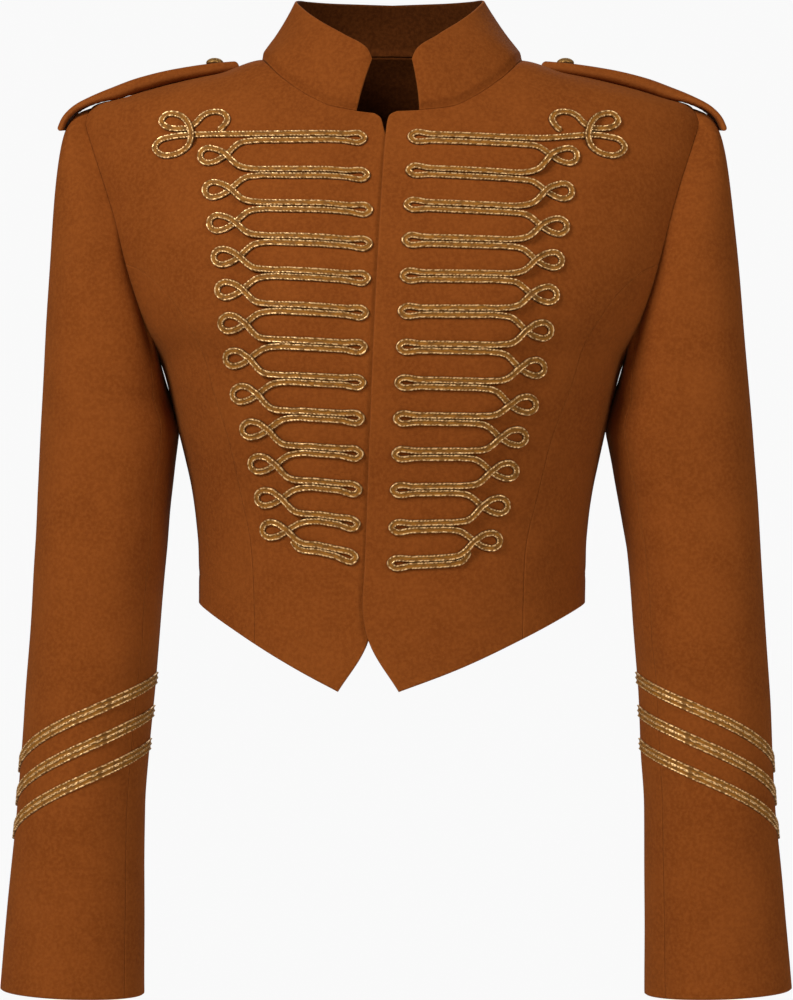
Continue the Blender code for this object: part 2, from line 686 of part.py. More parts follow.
def braid_route(side):
    """Flat route of the braid as outward distance, height and lift, from the knot to the last row."""
    row_z = np.linspace(ROW_FIRST_Z, ROW_LAST_Z, ROW_COUNT)
    half = BRAID_PITCH / 2
    knot = np.stack([KNOT_X + np.array(KNOT["out"]), KNOT_Z + np.array(KNOT["up"]), KNOT["lift"]], axis=1)
    route = [knot]
    start = KNOT_X - KNOT_EXIT
    for number, z in enumerate(row_z):
        end = float(curve_at(ROW_END[side]["z"], ROW_END[side]["x"], z))
        end = end - float(edge_x("right", z)) * (-1 if side == "right" else 1)
        inward = np.linspace(start, end + TURN_LONG, RUN_POINTS)
        level = np.zeros_like(inward)
        route.append(np.stack([inward, level + z + half, level], axis=1)[1 if number == 0 else 0:])
        neck = end + TURN_BULB
        route.append([[neck, z + TURN_BULB, 0], [end, z, 0], [neck, z - TURN_BULB, 0]])
        middle = z - (row_z[0] - row_z[1]) / 2
        throat = float(curve_at(EYE["z"], EYE["x"], middle)) - EYE_LONG / 2
        last = number == ROW_COUNT - 1
        stop = start + LAST_TAIL if last else throat - EYE_LEAD
        outward = np.linspace(end + TURN_LONG, stop, RUN_POINTS)
        route.append(np.stack([outward, level + z - half, level], axis=1))
        if last:
            break
        reach = z - half - middle
        bend = throat - EYE_LEAD * LEAD_SHARE
        route.append([[bend, z - half - reach * LEAD_FALL, 0]])
        route.append(eye_loop(throat, middle))
        route.append([[bend, middle - reach * (1 - LEAD_FALL), LEAD_LIFT]])
        start = throat - EYE_LEAD
    return np.concatenate([np.asarray(piece, float) for piece in route])


def braid(side):
    route = braid_route(side)
    turn = turn_of(route[:, 0], route[:, 1])
    points, normals = front_point(side, turn, route[:, 1])
    rest = BRAID_REST + BRAID_LIFT * route[:, 2]
    sections = strip_sections(points, normals, BRAID_WIDE, BRAID_TOP, rest)
    ribbon("braid_" + side, sections, side, "gold braid")


clear_scene()
JACKET = bpy.data.collections.new("cropped_jacket")
bpy.context.scene.collection.children.link(JACKET)
FINISH = {name: make_finish(name, **values) for name, values in FINISHES.items()}
for hand in ("right", "left"):
    front(hand)
    side_front(hand)
    sleeve(hand)
    strap(hand)
    button(hand)
    braid(hand)
    for count in range(CUFF_COUNT):
        cuff_braid(hand, count)
back()
collar()
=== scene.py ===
# %% [markdown]
# A cropped jacket of felted wool, filled out as if somebody wore it, with gold braid on its fronts
# and cuffs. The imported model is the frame. The tables below repeat its sizes, some of them moved a
# few millimetres to match the photograph, and dress it with thin cloth shells, braid and finishes.
# Lengths are in millimetres, because that is how cloth is cut, and become metres in a mesh.

# %% Load the frame
import math

import bpy
import numpy as np
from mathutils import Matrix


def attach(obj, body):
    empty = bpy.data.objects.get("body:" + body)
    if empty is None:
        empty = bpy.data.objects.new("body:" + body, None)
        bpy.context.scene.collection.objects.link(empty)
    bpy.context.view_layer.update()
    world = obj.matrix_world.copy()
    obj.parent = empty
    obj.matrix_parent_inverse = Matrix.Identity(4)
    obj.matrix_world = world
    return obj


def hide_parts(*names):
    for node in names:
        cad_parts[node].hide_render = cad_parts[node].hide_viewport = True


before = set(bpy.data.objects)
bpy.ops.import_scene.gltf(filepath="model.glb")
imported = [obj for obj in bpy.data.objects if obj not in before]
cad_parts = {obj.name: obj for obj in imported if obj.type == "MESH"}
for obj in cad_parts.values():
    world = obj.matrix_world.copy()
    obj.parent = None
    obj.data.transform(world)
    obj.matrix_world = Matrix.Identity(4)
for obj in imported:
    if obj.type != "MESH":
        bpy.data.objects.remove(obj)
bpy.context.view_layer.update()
MM = 0.001
SIDES = ("right", "left")
MIRROR = (-1, 1, 1)

# %% [markdown]
# The photograph looks straight at the jacket from a few metres away, so a long lens is used. A
# pixel at the depth of the neck is 0.70 mm, and the lens follows from that and from the distance.

# %% Camera
PICTURE_HIGH = 1000
MM_PER_PIXEL = 0.70
CAMERA_AWAY = 2500
CAMERA_X = 3
CAMERA_Z = -307
SENSOR = 36

lens_data = bpy.data.cameras.new("camera")
lens_data.sensor_width = SENSOR
lens_data.lens = SENSOR * CAMERA_AWAY / (PICTURE_HIGH * MM_PER_PIXEL)
camera = bpy.data.objects.new("camera", lens_data)
camera.location = (CAMERA_X * MM, -CAMERA_AWAY * MM, CAMERA_Z * MM)
camera.rotation_euler = (math.pi / 2, 0, 0)
bpy.context.scene.collection.objects.link(camera)
bpy.context.scene.camera = camera
bpy.context.scene.view_settings.view_transform = "Standard"
print("lens", round(lens_data.lens, 1), "mm")

# %% [markdown]
# Soft studio light: a large panel at the upper left gives the brighter side and a weaker one at the
# right keeps the other side readable. The surround is white where it is looked at, as a lit studio
# wall is, but it only lends a weak light of its own, so that hollows and underarms stay dark.

# %% Light
LAMPS = {
    "key":  {"place": (-1.75, -1.95, 1.45), "size": 1.1, "power": 74},
    "fill": {"place": (1.8, -2.0, 0.85), "size": 1.0, "power": 29},
    "rear": {"place": (0.4, 2.4, 1.2), "size": 1.8, "power": 24},
}
LAMP_AIM = (0, 0, -0.2)
SURROUND = (0.95, 0.95, 0.95, 1)
SURROUND_LIGHT = 0.11


def add_lamp(name, place, size, power):
    lamp_data = bpy.data.lights.new(name, "AREA")
    lamp_data.shape = "DISK"
    lamp_data.size = size
    lamp_data.energy = power
    lamp = bpy.data.objects.new(name, lamp_data)
    lamp.location = place
    aim = lamp.location.copy()
    aim[:] = LAMP_AIM
    lamp.rotation_euler = (aim - lamp.location).to_track_quat("-Z", "Y").to_euler()
    bpy.context.scene.collection.objects.link(lamp)


for lamp_name, lamp_values in LAMPS.items():
    add_lamp(lamp_name, **lamp_values)
world = bpy.data.worlds.new("surround")
world.use_nodes = True
sky = world.node_tree
lending = sky.nodes["Background"]
lending.inputs["Color"].default_value = SURROUND
lending.inputs["Strength"].default_value = SURROUND_LIGHT
seen = sky.nodes.new("ShaderNodeBackground")
seen.inputs["Color"].default_value = SURROUND
either = sky.nodes.new("ShaderNodeMixShader")
sky.links.new(sky.nodes.new("ShaderNodeLightPath").outputs["Is Camera Ray"], either.inputs[0])
sky.links.new(lending.outputs[0], either.inputs[1])
sky.links.new(seen.outputs[0], either.inputs[2])
sky.links.new(either.outputs[0], sky.nodes["World Output"].inputs["Surface"])
bpy.context.scene.world = world
print("lamps", list(LAMPS))

# %% [markdown]
# The floor is a plain pale disc well below the cuffs. It is part of the stage, not of the jacket.

# %% Floor
FLOOR_Z = -1000
FLOOR_RADIUS = 2300
FLOOR_SIDES = 96
FLOOR_COLOUR = (0.86, 0.85, 0.84, 1)
FLOOR_ROUGHNESS = 0.9

floor_swing = np.linspace(0, 2 * math.pi, FLOOR_SIDES, endpoint=False)
floor_rim = np.stack([np.cos(floor_swing) * FLOOR_RADIUS, np.sin(floor_swing) * FLOOR_RADIUS,
                      np.full(FLOOR_SIDES, FLOOR_Z)], axis=1)
floor_mesh = bpy.data.meshes.new("floor")
floor_mesh.from_pydata((floor_rim * MM).tolist(), [], [list(range(FLOOR_SIDES))])
floor_finish = bpy.data.materials.new("pale floor")
floor_finish.use_nodes = True
floor_shader = floor_finish.node_tree.nodes["Principled BSDF"]
floor_shader.inputs["Base Color"].default_value = FLOOR_COLOUR
floor_shader.inputs["Roughness"].default_value = FLOOR_ROUGHNESS
floor_mesh.materials.append(floor_finish)
floor = bpy.data.objects.new("floor", floor_mesh)
bpy.context.scene.collection.objects.link(floor)
print("floor at", FLOOR_Z, "mm")

# %% [markdown]
# Felted wool has a short nap: tiny fibres that hide the weave, catch light at grazing angles and
# leave soft mottling where they lie differently. One node group makes the mottling and the nap's
# height from noise on Object coordinates. Gold braid and brass use its fine grain too.

# %% Node helpers
def add_node(tree, kind, **values):
    """Adds a node of the given kind and sets its properties."""
    node = tree.nodes.new(kind)
    for key, value in values.items():
        setattr(node, key, value)
    return node


def set_inputs(node, values):
    """Sets a node's inputs by name."""
    for name, value in values.items():
        node.inputs[name].default_value = value


def math_node(tree, operation, first, second=0.5, third=0.5):
    """Maths node whose inputs are sockets or plain numbers."""
    node = add_node(tree, "ShaderNodeMath", operation=operation)
    for slot, value in enumerate((first, second, third)):
        if isinstance(value, (int, float)):
            node.inputs[slot].default_value = value
        else:
            tree.links.new(value, node.inputs[slot])
    return node.outputs[0]


def ramp_between(tree, value, low, high, low_out=0.0, high_out=1.0):
    """Smoothly maps a value between two bounds to two outputs."""
    node = add_node(tree, "ShaderNodeMapRange", interpolation_type="SMOOTHSTEP")
    tree.links.new(value, node.inputs["Value"])
    set_inputs(node, {"From Min": low, "From Max": high, "To Min": low_out, "To Max": high_out})
    return node.outputs["Result"]


def mix_colours(tree, share, first, second):
    """Mix of two colours, each a socket or a tuple, by a share that is a socket."""
    node = add_node(tree, "ShaderNodeMix", data_type="RGBA")
    tree.links.new(share, node.inputs[0])
    for slot, value in ((6, first), (7, second)):
        if isinstance(value, tuple):
            node.inputs[slot].default_value = value
        else:
            tree.links.new(value, node.inputs[slot])
    return node.outputs[2]


print("node helpers ready")

# %% Nap group
NAP_SCALES = {"Cloud Scale": 26.0, "Fleck Scale": 420.0, "Fibre Scale": 1700.0}
NAP_DETAIL = {"Cloud": 4.0, "Fleck": 3.0, "Fibre": 2.0}
NAP_ROUGHNESS = 0.6
FIBRE_SHARE = 0.55

nap_group = bpy.data.node_groups.new("wool nap", "ShaderNodeTree")
for socket_name, default in NAP_SCALES.items():
    socket = nap_group.interface.new_socket(socket_name, in_out="INPUT", socket_type="NodeSocketFloat")
    socket.default_value = default
for socket_name in ("Cloud", "Fleck", "Height"):
    nap_group.interface.new_socket(socket_name, in_out="OUTPUT", socket_type="NodeSocketFloat")


def fill_nap_group(tree):
    """Cloud is slow mottling, Fleck is millimetre mottling, Height is fibre grain over flecks."""
    given = add_node(tree, "NodeGroupInput")
    result = add_node(tree, "NodeGroupOutput")
    place = add_node(tree, "ShaderNodeTexCoord").outputs["Object"]
    tones = {}
    for name, detail in NAP_DETAIL.items():
        node = add_node(tree, "ShaderNodeTexNoise")
        tree.links.new(place, node.inputs["Vector"])
        tree.links.new(given.outputs[name + " Scale"], node.inputs["Scale"])
        set_inputs(node, {"Detail": detail, "Roughness": NAP_ROUGHNESS})
        tones[name] = node.outputs["Fac"]
    tones["Height"] = math_node(tree, "MULTIPLY_ADD", tones["Fibre"], FIBRE_SHARE, tones["Fleck"])
    for name in ("Cloud", "Fleck", "Height"):
        tree.links.new(tones[name], result.inputs[name])


fill_nap_group(nap_group)
print("nap group outputs Cloud, Fleck and Height")

# %% Wool
WOOL_DEEP = (0.190, 0.0445, 0.0058, 1)
WOOL_MIDDLE = (0.224, 0.0550, 0.0076, 1)
WOOL_LIGHT = (0.290, 0.0790, 0.0134, 1)
# Painted highlight: the paler brown laid along every rounded border of the cloth.
WOOL_EDGE_HIGHLIGHT = (0.340, 0.1010, 0.0205, 1)
# Painted shade: the inside of the cloth is coloured dark to stand for the shadow within the hollow jacket.
INSIDE_PAINTED_SHADE_DEEP = (0.068, 0.0170, 0.0030, 1)
INSIDE_PAINTED_SHADE_PALE = (0.105, 0.0280, 0.0052, 1)
EDGE_HIGHLIGHT_REACH = 2.4
EDGE_HIGHLIGHT_SHARE = 0.30
CLOUD_RANGE = (0.30, 0.70)
FLECK_RANGE = (0.32, 0.70)
FLECK_SHARE = 0.55
ROUGH_RANGE = (0.3, 0.7)
WOOL_ROUGHNESS = (0.86, 0.97)
WOOL_SURFACE = {
    "Specular IOR Level": 0.06,
    "Sheen Weight": 0.05,
    "Sheen Roughness": 0.40,
    "Sheen Tint": (0.95, 0.50, 0.20, 1),
}
INSIDE_SURFACE = {"Roughness": 0.95, "Specular IOR Level": 0.04}
WOOL_BUMP = {"Strength": 0.55, "Distance": 0.0005}


def new_finish(name):
    """New material with its tree and its Principled shader."""
    material = bpy.data.materials.new(name)
    material.use_nodes = True
    return material, material.node_tree, material.node_tree.nodes["Principled BSDF"]


def add_nap(tree, **scales):
    node = add_node(tree, "ShaderNodeGroup", node_tree=nap_group)
    for name, value in scales.items():
        node.inputs[name.replace("_", " ")].default_value = value
    return node


def add_bump(tree, shader, height, values):
    node = add_node(tree, "ShaderNodeBump")
    set_inputs(node, values)
    tree.links.new(height, node.inputs["Height"])
    tree.links.new(node.outputs["Normal"], shader.inputs["Normal"])


def wool_finish():
    """Brown wool: clouds and flecks move it between three browns, and a paler brown along turned edges is a
    painted highlight.
    """
    material, tree, shader = new_finish("felted wool")
    nap = add_nap(tree)
    cloud = ramp_between(tree, nap.outputs["Cloud"], *CLOUD_RANGE)
    fleck = ramp_between(tree, nap.outputs["Fleck"], *FLECK_RANGE)
    body = mix_colours(tree, cloud, WOOL_DEEP, WOOL_MIDDLE)
    tone = math_node(tree, "MULTIPLY", fleck, FLECK_SHARE)
    body = mix_colours(tree, tone, body, WOOL_LIGHT)
    # Painted highlight on the rounded borders: the colour turns paler within a few millimetres of each
    # border.
    edge = add_node(tree, "ShaderNodeAttribute", attribute_name="edge").outputs["Fac"]
    near = ramp_between(tree, edge, 0.0, EDGE_HIGHLIGHT_REACH, EDGE_HIGHLIGHT_SHARE, 0.0)
    body = mix_colours(tree, near, body, WOOL_EDGE_HIGHLIGHT)
    tree.links.new(body, shader.inputs["Base Color"])
    rough = ramp_between(tree, nap.outputs["Fleck"], *ROUGH_RANGE, *WOOL_ROUGHNESS)
    tree.links.new(rough, shader.inputs["Roughness"])
    set_inputs(shader, WOOL_SURFACE)
    add_bump(tree, shader, nap.outputs["Height"], WOOL_BUMP)
    return material


def painted_shade_inside_finish():
    """Inside of the cloth: two dark browns under the same nap, a painted shade for the hollow of the
    jacket.
    """
    material, tree, shader = new_finish("wool inside painted shade")
    nap = add_nap(tree)
    fleck = ramp_between(tree, nap.outputs["Fleck"], *FLECK_RANGE)
    tree.links.new(mix_colours(tree, fleck, INSIDE_PAINTED_SHADE_DEEP, INSIDE_PAINTED_SHADE_PALE), shader.inputs["Base Color"])
    set_inputs(shader, INSIDE_SURFACE)
    add_bump(tree, shader, nap.outputs["Height"], WOOL_BUMP)
    return material


WOOL = wool_finish()
INSIDE_PAINTED_SHADE = painted_shade_inside_finish()
print("made", WOOL.name, "and", INSIDE_PAINTED_SHADE.name)

# %% [markdown]
# The jacket's surfaces come from short tables of sizes, joined by a smooth curve that never
# overshoots its points, so a ring or a seam keeps the measured widths between them.

# %% Curves
FINE_STEPS = 60


def curve_at(xs, ys, at):
    """Smooth curve through the points (xs, ys), xs rising: cubic pieces with limited slopes."""
    xs = np.asarray(xs, float)
    ys = np.asarray(ys, float)
    step = np.diff(xs)
    slope = np.diff(ys) / step
    lean = np.zeros(len(xs))
    same = slope[:-1] * slope[1:] > 0
    with np.errstate(divide="ignore", invalid="ignore"):
        mean = 2 * slope[:-1] * slope[1:] / (slope[:-1] + slope[1:])
    lean[1:-1] = np.where(same, mean, 0)
    lean[0] = slope[0]
    lean[-1] = slope[-1]
    at = np.clip(np.asarray(at, float), xs[0], xs[-1])
    k = np.clip(np.searchsorted(xs, at) - 1, 0, len(xs) - 2)
    t = (at - xs[k]) / step[k]
    rise = ys[k] + (ys[k + 1] - ys[k]) * t * t * (3 - 2 * t)
    return rise + step[k] * t * (1 - t) * (lean[k] * (1 - t) - lean[k + 1] * t)


def table_at(table, at):
    """Smooth curve through a table of two columns."""
    return curve_at(*table.values(), at)


def smooth_step(low, high, value):
    """0 below low, 1 above high, and a smooth rise between."""
    t = np.clip((value - low) / (high - low), 0, 1)
    return t * t * (3 - 2 * t)


def unit(vectors):
    return vectors / np.linalg.norm(vectors, axis=-1, keepdims=True)


def lengths(points):
    """Length along a row of points from its start."""
    return np.r_[0, np.cumsum(np.linalg.norm(np.diff(points, axis=0), axis=1))]


def sampled(at, length, line):
    """Points of a line at the given lengths, from the length at each of its own points."""
    return np.stack([np.interp(at, length, column) for column in line.T], axis=1)


def along(points, shares):
    """Points at the given shares of the length of a smooth line through the given points."""
    points = np.asarray(points, float)
    chord = lengths(points)
    fine = np.linspace(0, chord[-1], FINE_STEPS * len(points))
    line = np.stack([curve_at(chord, column, fine) for column in points.T], axis=1)
    length = lengths(line)
    return sampled(np.asarray(shares) * length[-1], length, line)


def crowded(count, pull=0.82):
    """count + 1 shares from 0 to 1, closest at both ends: an even step less a sine wave."""
    t = np.linspace(0, 1, count + 1)
    return t - pull * np.sin(2 * math.pi * t) / (2 * math.pi)


print("crowded steps", np.round(crowded(8), 3))

# %% [markdown]
# The body of the jacket is one smooth surface. Each level is a rounded ring, fuller than an
# ellipse, with its own width and its own depth in front and behind. All five body panels are cut
# from it, so their seams meet.

# %% Torso surface
CLOTH = 2.2
SEAM_TUCK = 0.12
LAP_CLEAR = 0.8
LAP_FULL = 12
LAP_BLEND = 42
TORSO_RINGS = {
    "z":     [-450, -377, -342, -321, -300, -279, -258, -237, -211, -188, -160, -132, -104,
              -70, -46, -33, -27, -20, -14, -8, -2, 5, 12],
    "width": [138, 135, 135.3, 137, 140, 144.5, 149.5, 154.5, 162, 178, 192.5, 203, 211,
              219, 219, 210, 197, 176, 152, 122, 90, 85, 80],
    "front": [104, 103, 104, 106.5, 109, 113, 117, 120, 122, 122, 117.5, 112.5, 103,
              88, 78, 71, 67.5, 62, 57.5, 52, 45, 38, 30],
    "back":  [88, 87, 86, 86.5, 88, 90, 92.5, 95.5, 99, 102, 104, 104.5, 103.5,
              98, 91, 85.5, 82.5, 79.5, 77, 74, 71, 66, 60],
}
TORSO_POWER = 2.2
TURN_STEP = 0.004
HEIGHT_STEP = 0.4
HEM_SIDE_X = 135
HEM_SIDE_Z = -379
HEM_TIP_Z = -436
HEM = {
    "right": {"x": [4.5, 45, 88.5, HEM_SIDE_X], "z": [HEM_TIP_Z, -421, -401.5, HEM_SIDE_Z]},
    "left": {"x": [36.5, 63, 97, HEM_SIDE_X], "z": [HEM_TIP_Z, -422.3, -402.8, HEM_SIDE_Z]},
}
EDGES = {
    "right": {
        "x": [3, -2, -4, -8.5, -12.5, -15.7, -18.7, -20, -18.8, -15.4, 4.5],
        "z": [-42.6, -45.5, -54, -120, -200, -280, -355, -377, -390, -403, HEM_TIP_Z],
    },
    "left": {
        "x": [12, 7.6, 5.3, -2.5, -3, 1.5, 4.7, 8, 10.5, 16.5, 36.5],
        "z": [-42.6, -46, -54, -76, -120, -200, -280, -355, -380, -403, HEM_TIP_Z],
    },
}


def ring(column, z):
    return curve_at(TORSO_RINGS["z"], TORSO_RINGS[column], z)


def torso_raw(turn, z):
    """Width times the sine and depth times the cosine of the turn, each to a power under one."""
    sine = np.sin(turn)
    cosine = np.cos(turn)
    power = 2 / TORSO_POWER
    x = ring("width", z) * np.sign(sine) * np.abs(sine) ** power
    depth = np.where(cosine > 0, -ring("front", z), ring("back", z))
    return np.stack([x, depth * np.abs(cosine) ** power, np.broadcast_to(z, x.shape)], axis=-1)


def torso(turn, z):
    """Point of the torso and the outward normal, from the cross product of two small steps."""
    turn = np.asarray(turn, float)
    z = np.asarray(z, float)
    across = torso_raw(turn + TURN_STEP, z) - torso_raw(turn - TURN_STEP, z)
    up = torso_raw(turn, z + HEIGHT_STEP) - torso_raw(turn, z - HEIGHT_STEP)
    return torso_raw(turn, z), unit(np.cross(across, up))


def turn_of(x, z):
    """Turn of the point of the front half at half width x and height z."""
    share = np.clip(x / ring("width", z), -1, 1)
    return np.arcsin(np.sign(share) * np.abs(share) ** (TORSO_POWER / 2))


def edge_x(side, z):
    return curve_at(EDGES[side]["z"][::-1], EDGES[side]["x"][::-1], z)


print("chest", round(2 * float(ring("width", -150))), "mm wide")

# %% [markdown]
# Thick felted cloth falls in few, soft folds. Each fold here is a ridge or a trough laid
# from one point to another: highest along that line, fading to nothing at its sides and ends.
# A slow swell of three sine waves keeps the rest from looking turned on a lathe.

# %% Folds
FRONT_FOLDS = {
    "right": {
        "x0":   [150, 128, 60, 112, 30, 116],
        "z0":   [-196, -215, -150, -330, -372, -286],
        "x1":   [96, 88, 84, 58, 70, 84],
        "z1":   [-214, -262, -262, -362, -392, -352],
        "wide": [13, 12, 22, 12, 10, 9],
        "high": [-1.3, 1.0, 1.2, 0.9, 0.6, -0.9],
    },
    "left": {
        "x0":   [152, 132, 58, 108, 40, 112],
        "z0":   [-200, -222, -142, -338, -380, -280],
        "x1":   [104, 92, 80, 66, 76, 86],
        "z1":   [-222, -270, -258, -360, -396, -346],
        "wide": [12, 13, 22, 12, 10, 9],
        "high": [-1.2, 1.0, 1.1, 0.8, 0.6, -0.8],
    },
}
BACK_FOLDS = {
    "x0":   [-120, 126, -60, 70, 0, -30],
    "z0":   [-120, -132, -300, -310, -150, -40],
    "x1":   [-66, 62, 40, -30, 4, 36],
    "z1":   [-190, -206, -318, -334, -300, -44],
    "wide": [16, 16, 12, 11, 14, 14],
    "high": [1.4, 1.3, -1.2, 1.0, -1.2, 0.8],
}
FOLD_START = (-0.25, 0.3)
FOLD_STOP = (0.7, 1.25)
SWELL_HIGH = 0.28
SWELL_WAVES = {"across": [17, -37, 9], "height": [41, 23, 13], "high": [1, 1, 0.6]}
FRONT_SHIFT = {"right": 0.4, "left": 1.7}
BACK_SHIFT = 2.9
HEM_TURN = 21
HEM_MARK_WIDE = 3.2
HEM_MARK_DEEP = 0.35
NECK_RISE = 2.6
NECK_RISE_X = 93
NECK_RISE_WIDE = 13
NECK_RISE_FROM = -25
NECK_RISE_FULL = -5
STRAP_SINK = 2.8
STRAP_SINK_DEEP = 34
STRAP_SINK_NEAR = (102, 122)
STRAP_SINK_FAR = (185, 208)
STRAP_SINK_UP = (-75, -50)


def fold_height(table, across, height):
    """Sum over the folds of high times a bell of the distance to the fold's own line."""
    total = np.zeros(np.shape(across))
    for x0, z0, x1, z1, wide, high in zip(*table.values()):
        step = np.array([x1 - x0, z1 - z0], float)
        share = ((across - x0) * step[0] + (height - z0) * step[1]) / (step @ step)
        near = np.clip(share, 0, 1)
        gap = np.hypot(across - x0 - near * step[0], height - z0 - near * step[1])
        fade = smooth_step(*FOLD_START, share) * (1 - smooth_step(*FOLD_STOP, share))
        total += high * fade * np.exp(-(gap / wide) ** 2)
    return total


def swell(across, height, shift):
    """Three crossing sine waves, a few centimetres long."""
    waves = 0
    for number, (wide, long, high) in enumerate(zip(*SWELL_WAVES.values()), start=1):
        waves = waves + high * np.sin(across / wide + height / long + number * shift)
    return SWELL_HIGH * waves / 2


def hem_z(side, x):
    """Height of the pointed front hem, from its tip to the side seam."""
    return table_at(HEM[side], x)


def shoulder_height(point):
    """The cloth rises where it turns up into the collar, and sinks along the ridge under the strap."""
    x, y, z = np.abs(point[..., 0]), point[..., 1], point[..., 2]
    rise = NECK_RISE * np.exp(-((x - NECK_RISE_X) / NECK_RISE_WIDE) ** 2)
    rise = rise * smooth_step(NECK_RISE_FROM, NECK_RISE_FULL, z)
    under_strap = smooth_step(*STRAP_SINK_NEAR, x) * (1 - smooth_step(*STRAP_SINK_FAR, x))
    under_strap = under_strap * smooth_step(*STRAP_SINK_UP, z)
    return rise - STRAP_SINK * under_strap * np.exp(-(y / STRAP_SINK_DEEP) ** 2)


def front_form(side, turn, z):
    """Front surface on its own side: the torso, sunk at the lap on the left, with its folds.

    The turned-up hem shows as a shallow line a fixed height above the edge.
    """
    point, normal = torso(turn, z)
    x = point[..., 0]
    height = fold_height(FRONT_FOLDS[side], x, point[..., 2])
    height += swell(x, point[..., 2], FRONT_SHIFT[side])
    height += shoulder_height(point)
    above = point[..., 2] - hem_z(side, x) - HEM_TURN
    height -= HEM_MARK_DEEP * np.exp(-(above / HEM_MARK_WIDE) ** 2)
    if side == "left":
        from_edge = x + edge_x("right", point[..., 2])
        height -= (CLOTH + LAP_CLEAR) * (1 - smooth_step(LAP_FULL, LAP_BLEND, from_edge))
    return point + normal * height[..., None], normal


def seam_form(side, line):
    """Points and normals of a seam line of turns and heights, on the front or on the back."""
    turn, z = line.T
    ahead, ahead_normal = front_form(side, turn, z)
    flip = 1 if side == "right" else -1
    behind, behind_normal = back_form(flip * turn + (0 if side == "right" else 2 * math.pi), z)
    on_front = (turn <= math.pi / 2)[:, None]
    flipped = np.array([flip, 1, 1])
    normal = np.where(on_front, ahead_normal, behind_normal * flipped)
    return np.where(on_front, ahead, behind * flipped), normal


def seated(edge, normal, lean):
    """Moves an edge so that the middle of its cloth meets the middle of the cloth it is sewn to."""
    return edge + (normal - lean) * CLOTH / 2


def back_form(turn, z):
    """Back surface: the torso with its own folds."""
    point, normal = torso(turn, z)
    height = fold_height(BACK_FOLDS, point[..., 0], point[..., 2])
    height += swell(point[..., 0], point[..., 2], BACK_SHIFT) + shoulder_height(point)
    return point + normal * height[..., None], normal


print(len(FRONT_FOLDS["right"]["x0"]), "folds a front and", len(BACK_FOLDS["x0"]), "on the back")

# %% [markdown]
# Seam lines are drawn on the torso as turn and height. They are dense here, so neighbouring
# panels that sample them at different places still meet.

# %% Seam lines
SEAM_POINTS = 160
TIP_Z = -33
UNDERARM_Z = -211
ARMHOLE = {
    "z":     [-211, -200, -187, -172, -144, -116, -88, -60, -45, -33],
    "front": [162, 163.5, 170, 175, 183.5, 190.5, 199, 208.5, 212.5, 210],
    "back":  [162, 167, 174.5, 181, 191, 197, 203, 210, 213.5, 210],
}
ARM_UPPER = 7
ARM_STEPS = 12
NECK_SIDE_Z = -2
NECK_FRONT = {
    "x": [23, 40, 56, 72.5, 81.5, 88, 90],
    "z": [-42, -39.5, -32, -20, -11.8, -4.5, NECK_SIDE_Z],
}
NECK_BACK = {"turn": [90, 115, 140, 160, 180], "z": [NECK_SIDE_Z, 4, 8.5, 10.5, 11]}
NECK_APART = 8
COLLAR_START = {"right": 18.5, "left": 24.0}
PRINCESS = {
    "z":     [-150, -160, -171, -200, -232, -266, -300, -351],
    "right": [172, 160, 150, 132, 120, 108, 100, 89.5],
    "left":  [172, 160, 150, 132.5, 121, 110.5, 104, 94.5],
}
PRINCESS_HEM_X = {"right": 88.5, "left": 93.5}


def armhole_z(share):
    """Height of the armhole at a share of the way from the shoulder tip (0) to the underarm (1)."""
    return (TIP_Z + UNDERARM_Z) / 2 + (TIP_Z - UNDERARM_Z) / 2 * np.cos(share * math.pi)


def armhole_turn(edge, z):
    """Turn of the front or back edge of the armhole at a height."""
    turn = turn_of(curve_at(ARMHOLE["z"], ARMHOLE[edge], z), z)
    return turn if edge == "front" else math.pi - turn


def armhole_line(edge, first=0.0, last=1.0):
    """Part of the armhole from the shoulder tip (0) to the underarm (1)."""
    share = np.linspace(first, last, SEAM_POINTS + 1)
    z = armhole_z(share)
    turn = np.where((share == 0) | (share == 1), math.pi / 2, armhole_turn(edge, z))
    return np.stack([turn, z], axis=1)


def drawn(x, z):
    """Points of half width and height on the front half, as turn and height."""
    return np.stack([turn_of(x, z), z], axis=1)


def flat_line(points):
    """Smooth line through points of half width and height, as turn and height."""
    return drawn(*along(points, np.linspace(0, 1, SEAM_POINTS + 1)).T)


def princess_line(side):
    start = armhole_line("front", ARM_UPPER / ARM_STEPS)[0]
    first = torso(start[0], start[1])[0]
    hem = (PRINCESS_HEM_X[side], float(hem_z(side, PRINCESS_HEM_X[side])))
    line = flat_line([(first[0], first[2]), *zip(PRINCESS[side], PRINCESS["z"]), hem])
    line[0] = start
    return line


def side_line():
    z = np.linspace(UNDERARM_Z, HEM_SIDE_Z, SEAM_POINTS + 1)
    return np.stack([np.full_like(z, math.pi / 2), z], axis=1)


def shoulder_line():
    """Shoulder ridge from the neck to the tip."""
    rows = zip(TORSO_RINGS["width"], TORSO_RINGS["z"])
    top = [(x, z) for x, z in rows if TIP_Z <= z <= NECK_SIDE_Z]
    line = along(top[::-1], np.linspace(0, 1, SEAM_POINTS + 1))
    return np.stack([np.full(len(line), math.pi / 2), line[:, 1]], axis=1)


def neck_front_line(side):
    """Neck seam from the collar's front end to the shoulder."""
    start = COLLAR_START[side]
    first = (start, float(curve_at(NECK_FRONT["x"][:3], NECK_FRONT["z"][:3], start)))
    later = [p for p in zip(NECK_FRONT["x"], NECK_FRONT["z"]) if p[0] > start + NECK_APART]
    line = flat_line([first, *later])
    line[-1, 0] = math.pi / 2
    return line


def neck_back_line():
    turn = np.radians(np.linspace(90, 180, SEAM_POINTS + 1))
    return np.stack([turn, table_at(NECK_BACK, np.degrees(turn))], axis=1)


